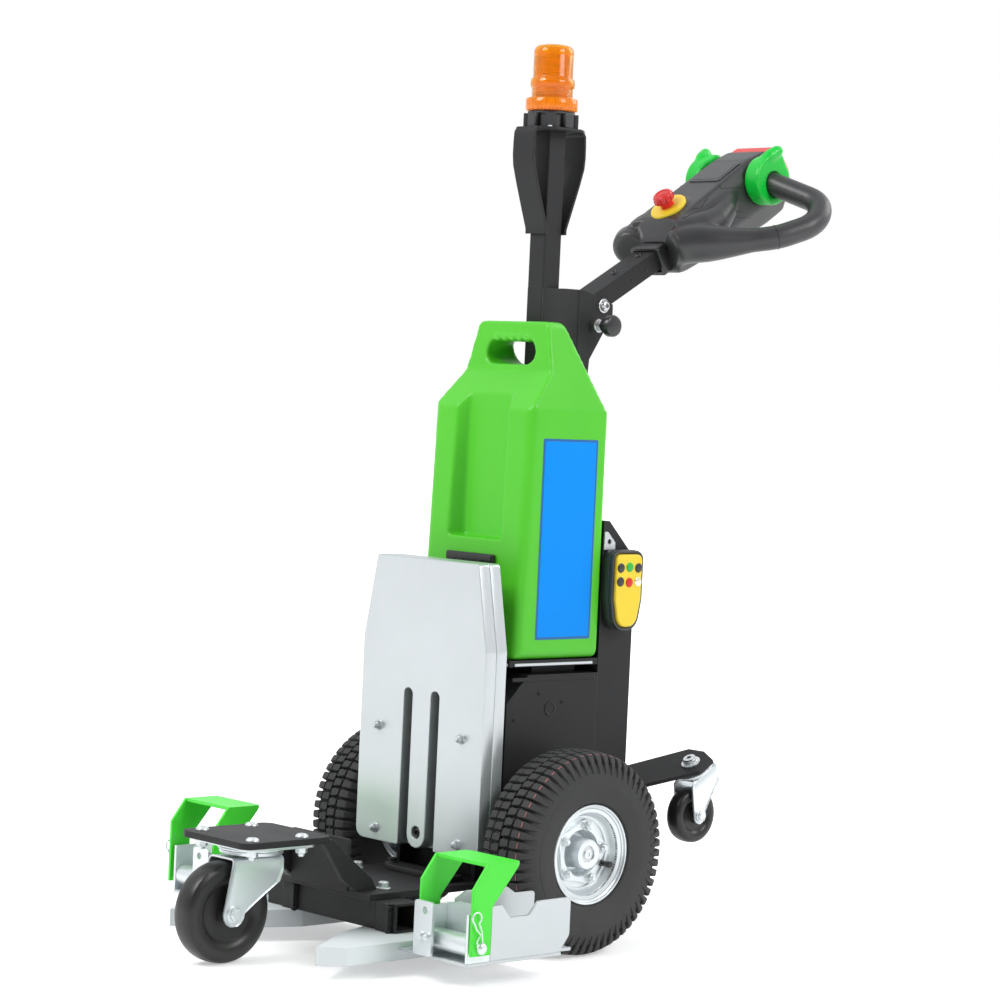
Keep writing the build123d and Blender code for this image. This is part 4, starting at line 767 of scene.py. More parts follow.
class TRACTOR_OT_castors(Operator):
    """Build the front swivel castor and the two rear support castors"""
    bl_idname = "tractor.castors"
    bl_label = "Castors"

    def execute(self, context):
        # Columns: name, fork body, wheel body, head node, fork node, wheel node, swivel point at the
        # plate's underside, swivel axis, head drop, wheel radius, width, bore, half gap, race radius,
        # leg's front and rear edges, saddle's front edge, foot radius
        rows = [("front_castor", "front_fork", "front_roller", "front_castor_head", "front_castor_fork",
                 "front_castor_wheel", spot(0, *FRONT_SWIVEL), Vector((0, 0, 1)), 18, 62.5, 36, 6.05, 25, 41,
                 46, 31, 44, 16)]
        for side, sign in SIDES:
            rows.append((f"rear_castor_{side}", f"rear_fork_{side}", f"rear_roller_{side}",
                         f"rear_castor_head_{side}", f"rear_castor_fork_{side}", f"rear_castor_wheel_{side}",
                         spot(sign * REAR_CASTOR_X, *REAR_SWIVEL) - SQUARE * 0.005, SQUARE,
                         11, 37, 24, 4.05, 17, 26, 26, 26, 18, 11))
        for (name, fork, roller, head_node, fork_node, wheel_node, top, axis, drop, radius, width, bore,
             half, race, front, rear, saddle, foot) in rows:
            low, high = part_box(wheel_node)
            hub = along((low + high) / 2, (1, 0, 0))
            bm = bmesh.new()
            castor_wheel(bm, hub, radius, width, bore)
            piece(f"{name}_tread", bm, roller, "Castor rubber", (wheel_node,))
            crown = stand(top - axis * drop * MM, (1, 0, 0), axis.cross(Vector((1, 0, 0))))
            bm = bmesh.new()
            castor_fork(bm, crown, hub, half, 2.6, front, rear, saddle, foot)
            big = radius > 50
            for way in (-1, 1):
                at = hub.translation + Vector((way * (half + 0.2) * MM, 0, 0))
                hexagon(bm, at, (way, 0, 0), 15 if big else 10, 5.5 if big else 3.6, 10.5 if big else 7)
            lathe(bm, [(-half, 0), (-half, bore - 0.05), (half, bore - 0.05), (half, 0)], hub, 20, False)
            piece(f"{name}_yoke", bm, fork, "Bright zinc", (fork_node,), 40)
            bm = bmesh.new()
            place = stand(top, (1, 0, 0), axis.cross(Vector((1, 0, 0))))
            if big:
                plate(bm, [rectangle(-62, 62, -52, 52, 8)], place, -4, 0, 0.8)
                for x in (-50, 50):
                    for y in (-38, 38):
                        at = place @ Vector((x * MM, y * MM, -0.004))
                        hexagon(bm, at, -axis, 13, 6.5, 9.5)
                        stub(bm, at, -axis, 0, 12, 4, (1, 1), 16)
            top_drop = 4 if big else 0
            lathe(bm, [(-top_drop, 0), (-top_drop, race * 0.82), (-top_drop - 2, race * 0.92),
                       (-top_drop - 4, race), (-top_drop - 5.6, race), (-top_drop - 6.2, race * 0.93),
                       (-top_drop - 7.0, race * 0.97), (-drop + 3.2, race * 0.95), (-drop + 2.4, race * 0.88),
                       (-drop + 2.4, 0)], place, 64, False)
            lathe(bm, [(-drop + 3, 0), (-drop + 3, bore), (-drop - 5, bore), (-drop - 5, bore + 3),
                       (-drop - 9, bore + 3), (-drop - 9, 0)], place, 24, False)
            piece(f"{name}_swivel", bm, "frame", "Bright zinc", (head_node,))
        return {"FINISHED"}


# Battery
class TRACTOR_OT_battery(Operator):
    """Build the moulded battery case with its finger ridges, label and latch bar"""
    bl_idname = "tractor.battery"
    bl_label = "Battery"

    def execute(self, context):
        bm = bmesh.new()
        copied(bm, "battery_case")
        for k in range(5):
            tube(bm, [spot(-28 + 14 * k, 8, 777.5), spot(-28 + 14 * k, 50, 777.5)], 4.6, 16)
        case = piece("battery_shell", bm, "frame", "Battery plastic", ("battery_case",), 180)
        melt(case, 0.0023, 6)
        face = side_plane(CASE_X)
        # Columns: name, finish, inset of the outline, outer height of the film
        for name, look, edge, film in (
                ("label_border", "Label border", 0, 0.35), ("label_blank", "Blank label", 3.2, 0.5)):
            bm = bmesh.new()
            outline = rectangle(-14 + edge, 83 - edge, 392 + edge, 650 - edge, 2)
            plate(bm, [outline], face, -0.6, film, 0.1)
            piece(name, bm, "frame", look)
        bm = bmesh.new()
        leaning = stand(spot(0, -43.4, 491), (1, 0, 0), (0, 0.0312, 1))
        plate(bm, [rectangle(-45, 45, -7, 7, 2)], leaning, 0, 4.5, 0.8)
        plate(bm, [rectangle(-43, 43, -2, 5, 1.5)], leaning, 4.4, 6.8, 0.8)
        piece("latch_bar", bm, "frame", "Smooth black", ("battery_latch",))
        return {"FINISHED"}


# Ballast
class TRACTOR_OT_ballast(Operator):
    """Build the two plated ballast slabs with their studs and the bolt in the tongue"""
    bl_idname = "tractor.ballast"
    bl_label = "Ballast"

    def execute(self, context):
        outer = [(119, 380, 5), (98, 490, 5), (-98, 490, 5), (-119, 380, 5), (-119, 118, 14)]
        rear = rounded([(119, 118, 14), *outer])
        slot_near = [(17.5, 118, 17), (17.5, 322, 8.4), (34.5, 322, 8.4), (34.5, 118, 2)]
        slot_far = [(-x, z, r) for x, z, r in reversed(slot_near)]
        slotted = rounded([(119, 118, 14), *outer, *slot_far, *slot_near])
        face = front_plane(BALLAST_FRONT)
        for name, outline, holes, low, high in (
                ("ballast_slab_front", slotted, [circle(0, 138, 8)], -18, 0),
                ("ballast_slab_rear", rear, [], -36, -18.1)):
            bm = bmesh.new()
            plate(bm, [outline, *holes], face, low, high, 1.1)
            if holes:
                for x in (-80, 80):
                    for z in (134, 268):
                        at = spot(x, BALLAST_FRONT, z)
                        stub(bm, at, (0, -1, 0), 0, 1.5, 6.6)
                        hexagon(bm, spot(x, BALLAST_FRONT - 1.4, z), (0, -1, 0), 9.5, 5.4)
                        stub(bm, at, (0, -1, 0), 6, 9.8, 3, (0.8, 0.7), 16)
            node = name.replace("slab_", "")
            piece(name, bm, "frame", "Zinc plate", (node,))
        # A dark sheet at the back of the ballast's notches: painted shade.
        bm = bmesh.new()
        for sign in (-1, 1):
            plate(bm, [rectangle(sign * 26 - 8.3, sign * 26 + 8.3, 119, 321, 8)], face, -18.1, -16.4, 0.3)
        piece("slot_painted_shade", bm, "frame", "Powder coat")
        bm = bmesh.new()
        dome(bm, spot(0, -113, 138), (0, -1, 0), 7.6, 4.6, 3.4)
        piece("tongue_bolt", bm, "frame", "Smooth black")
        return {"FINISHED"}


# Beacon
class TRACTOR_OT_beacon(Operator):
    """Build the beacon's flared bracket, tabbed base, ribbed lens and lamp"""
    bl_idname = "tractor.beacon"
    bl_label = "Beacon"

    def execute(self, context):
        sizes = context.scene.tractor_sizes
        foot = spot(0, 62, 0)
        bm = bmesh.new()
        # Strip outline seen from the side: distance from the mast's centre and height
        knots = [(17, 916), (17.2, 923), (26, 948), (38, 983), (44.4, 1004), (45.8, 1018), (45.6, 1034),
                 (44.8, 1047), (41, 1052)]
        fine = [Vector(a).lerp(Vector(b), k / 3) for a, b in zip(knots, knots[1:]) for k in range(3)]
        fine.append(Vector(knots[-1]))
        for way in (-1, 1):
            rings = []
            for k, here in enumerate(fine):
                run = fine[min(k + 1, len(fine) - 1)] - fine[max(k - 1, 0)]
                out = Vector((run.y, -run.x)).normalized()
                strip = [(-20, 1.2), (-19, 2), (19, 2), (20, 1.2), (20, -1.2), (19, -2), (-19, -2),
                         (-20, -1.2)]
                rings.append([
                    bm.verts.new(foot + Vector((x, way * (here.x + out.x * t), here.y + out.y * t)) * MM)
                    for x, t in strip])
            skin(bm, rings)
        place = stand(foot, (1, 0, 0), (0, 1, 0))
        roof = [(-20, -44), (20, -44), (38, -22), (38, 22), (20, 44), (-20, 44), (-38, 22), (-38, -22)]
        plate(bm, [rounded(roof, 12)], place, BEACON_SEAT - 4, BEACON_SEAT, 1.2)
        piece("beacon_cradle", bm, "frame", "Powder coat", ("beacon_bracket",))
        bm = bmesh.new()
        rim = LENS_SEAT - 4
        lathe(bm, [(BEACON_SEAT, 0), (BEACON_SEAT, 27), (rim, 27), (rim, 0)], place, 40, False)
        lathe(bm, [(rim, 0), (rim, 30), (rim + 0.6, 31), (LENS_SEAT - 0.6, 31), (LENS_SEAT, 30),
                   (LENS_SEAT, 0)], place, 64, False)
        for k in range(8):
            turn = tau * k / 8
            out = Vector((cos(turn), sin(turn), 0))
            side = stand(foot + out * 0.0312, out.cross(Vector((0, 0, 1))), (0, 0, 1))
            plate(bm, [rectangle(-7, 7, BEACON_SEAT, rim + 1, 1.5)], side, -4.8, 4, 0.8)
        piece("beacon_socket", bm, "frame", "Black moulding", ("beacon_base",))
        bm = bmesh.new()
        for k in range(4):
            turn = tau * (k + 0.5) / 4
            dome(bm, foot + Vector((cos(turn) * 33, sin(turn) * 33, BEACON_SEAT)) * MM, (0, 0, 1), 4, 3, 1.6)
        piece("beacon_screws", bm, "frame", "Bright zinc")
        # Lens section as height over its foot and radius, ribbed in fine rings
        outer = [(0.3, 33.2), (1.2, 34.2), (15.6, 34.2), (17, 33), (17.3, 28)]
        for k in range(5):
            outer += [(18.4 + 2.3 * k, 27.3), (19.2 + 2.3 * k, 26.8)]
        outer += [(30.2, 27.2), (31.4, 28.8), (36.5, 29.3), (41.8, 28.8), (43.6, 27)]
        for k in range(13):
            outer += [(44.8 + 2.25 * k, 26.4), (45.7 + 2.25 * k, 25.9)]
        outer += [(75, 26.3), (80, 26), (83.4, 24.6), (85.8, 21.6), (87.2, 16), (87.8, 8), (88, 0)]
        bm = bmesh.new()
        lens_at = place @ Matrix.Translation((0, 0, LENS_SEAT * MM))
        inner = [(h * 0.975, max(0, r - 2.2)) for h, r in outer if h > 17][::-1]
        lathe(bm, outer + [(h, r) for h, r in inner] + [(17, 25), (0.3, 31.4)], lens_at, 96)
        piece("beacon_dome", bm, "frame", "Amber lens", ("beacon_lens",), 50)
        bm = bmesh.new()
        count = sizes.lens_flutes
        rings = []
        for h in (1, 16):
            ring = []
            for k in range(2 * count):
                reach = 29.6 + (k % 2) * 1.3
                turn = pi * k / count
                ring.append(lens_at @ Vector((reach * cos(turn) * MM, reach * sin(turn) * MM, h * MM)))
            rings.append([bm.verts.new(point) for point in ring])
        skin(bm, rings)
        core = [(16, 0)]
        for k in range(19):
            core += [(17 + 3 * k, 21.2), (18.5 + 3 * k, 22.2)]
        lathe(bm, core + [(75, 20), (77, 0)], lens_at, 64, False)
        piece("beacon_flutes", bm, "frame", "Amber core")
        bm = bmesh.new()
        lathe(bm, [(74, 0), (74, 14), (75, 15.5), (77, 15.5), (78, 13.5), (80, 12), (81, 8), (81, 0)],
              lens_at, 40, False)
        piece("beacon_lamp", bm, "frame", "Clear core")
        return {"FINISHED"}


# Tiller
def on_tiller(x, reach, rise):
    """Point on the tiller: across, along it from the pivot, and square to it."""
    return spot(x, *PIVOT) + (ALONG * reach + SQUARE * rise) * MM


class TRACTOR_OT_tiller(Operator):
    """Build the moulded tiller head with its grips, paddles, switches and fittings"""
    bl_idname = "tractor.tiller"
    bl_label = "Tiller"

    def execute(self, context):
        sizes = context.scene.tractor_sizes
        grip = sizes.grip_thickness / 2 / MM
        slope = 10 / 166
        stop = along(on_tiller(0, 194, 51.5), SQUARE - ALONG * 0.2)
        bm = bmesh.new()
        copied(bm, "tiller_head")
        tube(bm, [stop @ Vector((0, 0, -0.022)), stop @ Vector((0, 0, -0.0014))], [38, 27.5], 32)
        roll, pitch = radians(22), radians(3.6)
        loops = {}
        for side, sign in SIDES:
            outward = Vector((sign * cos(roll), 0, 0)) - SQUARE * sin(roll)
            rearward = ALONG * cos(pitch) + SQUARE * sin(pitch)

            def on_loop(u, v):
                return on_tiller(0, 0, 24.7) + (outward * u + rearward * v) * MM

            loop = rounded([(60, 150), (150, 238, 100), (176, 291, 45), (154, 333, 35), (40, 333)], steps=12)
            path = [on_loop(u, v) for u, v in loop]
            # Thick ends of the loops and the webs inside them: across, along and radius
            root = ((45, 137, 19), (46, 139, 22.5), (48, 143, 25), (53, 152, 26), (60, 160, 26.4),
                    (68, 167, 26.4), (78, 174, 25.6), (90, 183, 23.5), (106, 196, 20), (124, 213, 16.8))
            web = ((34, 160, 26), (46, 178, 27), (54, 198, 25), (57, 220, 21), (52, 246, 17),
                   (40, 276, 10))
            loops[side] = path
            tube(bm, path, grip, 24)
            for line, sides in ((root, 24), (web, 20)):
                tube(bm, [on_loop(u, v) for u, v, _ in line], [radius for _, _, radius in line], sides)
        shell = piece("tiller_shell", bm, "tiller", "Black moulding",
                      ("tiller_head", "grip_left", "grip_right"), 180)
        melt(shell, 0.0023, 12)

        bm = bmesh.new()
        for side, sign in SIDES:
            for line in (((30, 150, 40), (44, 178, 32), (44, 218, 12), (44, 262, 3), (42, 300, -18)),
                         ((44, 201, 50), (44, 210, 43), (44, 234, 50)),
                         ((44, 256, 15), (44, 282, 1)),
                         ((36, 262, 55), (40, 262, 46), (44, 300, 30))):
                seam(bm, shell, [on_tiller(sign * x, reach, rise) for x, reach, rise in line], 0.55)
            joint = loops[side][6:8]
            turn = along(joint[0], joint[1] - joint[0])
            lathe(bm, [(-0.4, grip), (-0.4, grip + 0.25), (0.4, grip + 0.25), (0.4, grip)], turn, 32)
        piece("tiller_seams", bm, "tiller", "Smooth black")

        # Ears on the paddles, and the switch's lobes round the head's end
        extra = {f"thumb_paddle_{side}": [(((sign * 58, 326, 50), (sign * 64, 344, 56), (sign * 68, 358, 57),
                                            (sign * 70, 364, 55)), [7, 9.5, 8.5, 6])] for side, sign in SIDES}
        extra["belly_switch"] = [(((sign * 30, 380, 44), (sign * 43, 379, 38), (sign * 48, 377, 20),
                                   (sign * 46, 378, 2)), [6.5, 7.5, 8, 6]) for side, sign in SIDES]
        for node, voxel, rounds, look, slot_name in (
                ("thumb_paddle_left", 0.0016, 22, "Paddle plastic", "button_green"),
                ("thumb_paddle_right", 0.0016, 22, "Paddle plastic", "button_green"),
                ("belly_switch", 0.0016, 9, "Stop red", "red_plastic")):
            bm = bmesh.new()
            copied(bm, node)
            for path, radii in extra.get(node, ()):
                tube(bm, [on_tiller(*point) for point in path], radii, 12)
            soft = piece(f"{node}_moulding", bm, "tiller", look, (node,), 180)
            melt(soft, voxel, rounds)

        panel = stand(on_tiller(0, 297.5, 47 + 129.5 * slope), (1, 0, 0), ALONG + SQUARE * slope)
        bm = bmesh.new()
        plate(bm, [rectangle(-29, 29, -27, 27, 5)], panel, -0.8, 1.4, 0.4)
        plate(bm, [rectangle(-25, 25, -22, 22, 4)], panel, 1.3, 1.75, 0.2)
        piece("head_plate", bm, "tiller", "Smooth black", ("head_panel",))
        bm = bmesh.new()
        lathe(bm, [(-1.5, 8), (-1.5, 26), (1.4, 26), (2.6, 25.2), (3, 24), (3, 8)], stop, 64)
        piece("stop_plate", bm, "tiller", "Warning yellow", ("stop_ring",))
        bm = bmesh.new()
        lathe(bm, [(2, 0), (2, 9.4), (10.4, 9), (11, 12.6), (12, 14), (19.6, 13.8), (21.8, 12.9),
                   (22.8, 11.4), (22.9, 9.4), (22, 8.6), (22, 5.4), (22.8, 4.6), (22.9, 0)], stop, 48, False)
        for k in range(12):
            turn = tau * k / 12
            tube(bm, [stop @ Vector((14 * cos(turn) * MM, 14 * sin(turn) * MM, h * MM)) for h in (12.5, 19)],
                 0.9, 8)
        piece("stop_knob", bm, "tiller", "Stop red", ("stop_button",))

        bm = bmesh.new()
        socket = stand(on_tiller(0, 128, 3), (1, 0, 0), SQUARE)
        plate(bm, [rectangle(-26, 26, -21, 20, 4), rectangle(-20.3, 20.3, -15.3, 15.3)], socket, -14, 3, 1.2)
        piece("arm_socket", bm, "tiller", "Black moulding")
        bm = bmesh.new()
        for reach in (61, 113):
            dome(bm, on_tiller(0, reach, 18), SQUARE, 5, 2.6, 2)
        for reach in (70, 100):
            dome(bm, on_tiller(20, reach, 3), (1, 0, 0), 2.2, 1.2, 1)
        piece("arm_screws", bm, "tiller", "Smooth black")
        bm = bmesh.new()
        for way in (-1, 1):
            at = spot(way * CHEEK_X, *PIVOT)
            stub(bm, at, (way, 0, 0), 0, 1.6, 9.4)
            dome(bm, at + Vector((way * 1.4 * MM, 0, 0)), (way, 0, 0), 7.8, 5.8, 3.2)
        lathe(bm, [(-26, 0), (-26, 5.9), (26, 5.9), (26, 0)], along(spot(0, *PIVOT), (1, 0, 0)), 24, False)
        piece("pivot_bolt", bm, "frame", "Machined steel", ("tiller_pivot_bolt",))
        bm = bmesh.new()
        plunger = along(spot(*PLUNGER), (1, 0, 0))
        lathe(bm, [(0, 0), (0, 4.9), (4, 4.9), (4, 8.4), (5, 9), (14.6, 9), (16, 7.8), (16, 4.9), (25, 4.9),
                   (25, 0)], plunger, 40, False)
        piece("plunger_collar", bm, "frame", "Machined steel")
        bm = bmesh.new()
        lathe(bm, [(20, 0), (20, 5.4), (25, 5.6), (25, 9.4), (30.4, 9.8), (32.4, 13.2), (34, 14.4),
                   (41, 14.4), (43, 13.4), (44, 11), (44, 0)], plunger, 40, False)
        piece("plunger_knob", bm, "frame", "Smooth black", ("index_plunger",))
        return {"FINISHED"}


# Coupling
class TRACTOR_OT_coupling(Operator):
    """Build the latch pins with their rollers and spring clips, and the folded trays"""
    bl_idname = "tractor.coupling"
    bl_label = "Coupling"

    def execute(self, context):
        for side, sign in SIDES:
            pivot = along(spot(0, *LATCH), (sign, 0, 0))
            bm = bmesh.new()
            lathe(bm, [(200, 0), (200, 4.95), (300, 4.95), (300, 0)], pivot, 28, False)
            lathe(bm, [(216.4, 4.9), (216.4, 11.6), (217.6, 12.9), (284.4, 12.9), (285.6, 11.6),
                       (285.6, 4.9)], pivot, 56)
            lathe(bm, [(199, 5), (202.8, 5), (202.8, 8.2), (201.6, 9), (199, 9)], pivot, 28)
            dome(bm, spot(sign * 299.2, *LATCH), (sign, 0, 0), 7.4, 5.4)
            hexagon(bm, spot(sign * 202.8, *LATCH), (-sign, 0, 0), 13, 5.4)
            piece(f"latch_pin_{side}", bm, "frame", "Bright zinc", (f"lever_pin_{side}",))
            bm = bmesh.new()
            eye = [(-282 + 7 * cos(turn), 90 + 7 * sin(turn))
                   for turn in (radians(-60 + 25 * k) for k in range(13))]
            wire = [(-270.5, 46), (-271.5, 60), (-274, 74), *eye, (-281.5, 76), (-275.5, 70), (-280.5, 62),
                    (-279, 55)]
            tube(bm, [spot(sign * 302.2, back, z) for back, z in wire], 1.0, 8)
            for x, z in ((218, 57), (230, 57)):
                hexagon(bm, spot(sign * x, -294, z), (0, -1, 0), 8, 4, 5.6)
            for z in (46, 74):
                dome(bm, spot(sign * 290, -258, z), (sign, 0, 0), 3.6, 1.8, 1.4)
            piece(f"latch_fittings_{side}", bm, "frame", "Bright zinc")
            bm = bmesh.new()
            sheet = [(168, -284), (290, -284), (290, -130), (222, -130), (222, -150), (168, -150)]
            plate(bm, [rounded([(sign * x, back) for x, back in sheet], 2)], flat_plane(), 30, 34, 0.7)
            plate(bm, [rectangle(*sorted((sign * 225, sign * 287)), -246, -112)], flat_plane(), 34, 38, 0.5)
            # Walls from the side: depth, height and corner radius
            outer = [(-247, 34, 1), (-247, 100, 2), (-231, 100, 3), (-217, 84, 3), (-187, 84, 3),
                     (-172, 100, 3), (-118, 100, 4), (-118, 54, 9), (-134, 34, 4)]
            inner = [(-247, 34, 1), (-247, 99, 2), (-230, 107, 3), (-165, 107, 3), (-150, 98, 3),
                     (-118, 98, 4), (-118, 34, 1)]
            for shape, near in ((outer, 286), (inner, 222)):
                low, high = sorted((sign * near, sign * (near + 4)))
                plate(bm, [rounded(shape)], side_plane(0), low, high, 0.8)
            piece(f"tray_{side}", bm, "frame", "Zinc plate", (f"pocket_tray_{side}",))
        return {"FINISHED"}


# Chassis details
class TRACTOR_OT_chassis(Operator):
    """Add the bolts, link bar, posts, cheeks and side fittings that the frame carries"""
    bl_idname = "tractor.chassis"
    bl_label = "Chassis details"

    def execute(self, context):
        bm = bmesh.new()
        for x in (-50, 50):
            for back in (-422, -346):
                dome(bm, spot(x, back, 155), (0, 0, 1), 8.4, 4.4, 3)
        for x, back in ((-62, -222), (62, -222), (-75, -150)):
            hexagon(bm, spot(x, back, PLATE_TOP), (0, 0, 1), 12, 7, 9)
        piece("frame_bolts", bm, "frame", "Bright zinc")
        bm = bmesh.new()
        for sign in (-1, 1):
            at = spot(sign * REAR_CASTOR_X, *REAR_SWIVEL)
            stub(bm, at, SQUARE, 0, 2.2, 13, (0.6, 1), 32)
            lathe(bm, [(2, 9.5), (6.2, 9.5), (8.3, 8), (8.7, 6), (8.7, 3.4), (6, 3.2), (6, 0)],
                  along(at, SQUARE), 32, False)
        piece("castor_bolts", bm, "frame", "Bright zinc")
        bm = bmesh.new()
        bar = rounded([(-60, -118), (-44, -126), (60, -128), (72, -118), (72, -96), (-60, -96)], 5)
        plate(bm, [bar], flat_plane(), PLATE_TOP, PLATE_TOP + 8, 1)
        hexagon(bm, spot(-52, -111, PLATE_TOP + 8), (0, 0, 1), 10, 5, 8)
        plate(bm, [rounded([(-56, 83), (56, 83), (56, 148), (-56, 148)], 2)], front_plane(-276), -4, 0, 0.8)
        for x in (-78, 106):
            post = front_plane(-255, x, 58)
            plate(bm, [rectangle(-14, 14, -19, 18.5, 2)], post, 0, 4, 1)
            plate(bm, [rectangle(9, 14, -18, 17.5, 1)], post, 3.8, 8, 1)
        piece("base_fittings", bm, "frame", "Powder coat")
        bm = bmesh.new()
        low, high = 640, 845.6
        # Cheek as depth and height, and the cover from it to the mast as place across and depth
        cheek = [(102, low), (102, high), (112, high), (165, 830, 8), (165, 815, 4), (125.6, 755), (115, low)]
        cover = ((14.6, 48.6), (26.5, 77), (26.5, 103), (24, 103), (24, 81), (14.6, 77))
        for sign in (-1, 1):
            plate(bm, [rounded([(sign * x, back) for x, back in cover])], flat_plane(), low, high, 0.4)
            near, far = sorted((sign * (CHEEK_X - 1.6), sign * (CHEEK_X + 0.2)))
            plate(bm, [rounded(cheek)], side_plane(0), near, far, 0.5)
        piece("bracket_cheeks", bm, "frame", "Powder coat")
        bm = bmesh.new()
        lathe(bm, [(0, 0), (0, 9.5), (0.7, 9.5), (0.9, 9), (0.9, 7.4), (0.4, 7), (0.4, 0)],
              along(spot(CASE_X, 18, 303), (1, 0, 0)), 40, False)
        for back, z in ((-2, 323), (39, 311), (70, 140), (-44, 290)):
            dome(bm, spot(CASE_X, back, z), (1, 0, 0), 2.6, 1.1, 1.2)
        plate(bm, [rectangle(-50, 96, 339, 344, 1)], side_plane(CASE_X), -1, 0.8, 0.3)
        piece("housing_fittings", bm, "frame", "Powder coat")
        bm = bmesh.new()
        plate(bm, [rectangle(-46, 92, 358.6, 362.2, 0.5)], side_plane(CASE_X), -3, -0.6, 0.4)
        plate(bm, [rectangle(-90, 90, 358.6, 362.2, 0.5)], front_plane(-54.6), -1, 0.8, 0.4)
        plate(bm, [rounded([(104, 507, 1), (124, 507, 1), (124, 517, 3), (110, 531, 3), (104, 531, 1)]),
                   circle(113, 518, 3)], side_plane(COLUMN_X), 0, 2.4, 0.5)
        piece("zinc_trim", bm, "frame", "Zinc plate")
        return {"FINISHED"}


# Remote control
class TRACTOR_OT_remote(Operator):
    """Build the rubber holder and the remote control with its blank buttons"""
    bl_idname = "tractor.remote"
    bl_label = "Remote control"

    def execute(self, context):
        def outline(edge, corner):
            """Remote's outline, drawn in by edge: depth and height."""
            foot = corner + 8
            return rounded([(103 + edge, 508 - edge), (161 - edge, 508 - edge), (161 - edge, 444),
                            (153 - edge, 402 + edge, foot), (111 + edge, 402 + edge, foot),
                            (103 + edge, 444)], corner, 7)

        side = side_plane(COLUMN_X)
        bm = bmesh.new()
        plate(bm, [outline(0, 13)], side, 0, 13.5, 1.5)
        plate(bm, [outline(0.4, 13), outline(5.2, 8)], side, 12, 20, 2.2)
        piece("remote_boot", bm, "frame", "Black moulding", ("remote_holder",))
        bm = bmesh.new()
        plate(bm, [outline(5.4, 8)], side, 13.4, 22.8, 2.4)
        piece("remote_body", bm, "frame", "Warning yellow", ("remote_case",))
        # Columns: finish, buttons as depth and height
        for name, look, buttons in (
                ("dark", "Smooth black", ((116, 485), (148, 485), (116, 467))),
                ("green", "Button green", ((132, 486),)), ("red", "Stop red", ((132, 466),)),
                ("white", "Clear core", ((148, 467),))):
            bm = bmesh.new()
            for back, z in buttons:
                lathe(bm, [(0, 0), (0, 6.2), (1.0, 6.2), (1.6, 5.4), (1.9, 3), (2.0, 0)],
                      along(spot(COLUMN_X + 22.6, back, z), (1, 0, 0)), 28, False)
            piece(f"remote_button_{name}", bm, "frame", look)
        return {"FINISHED"}


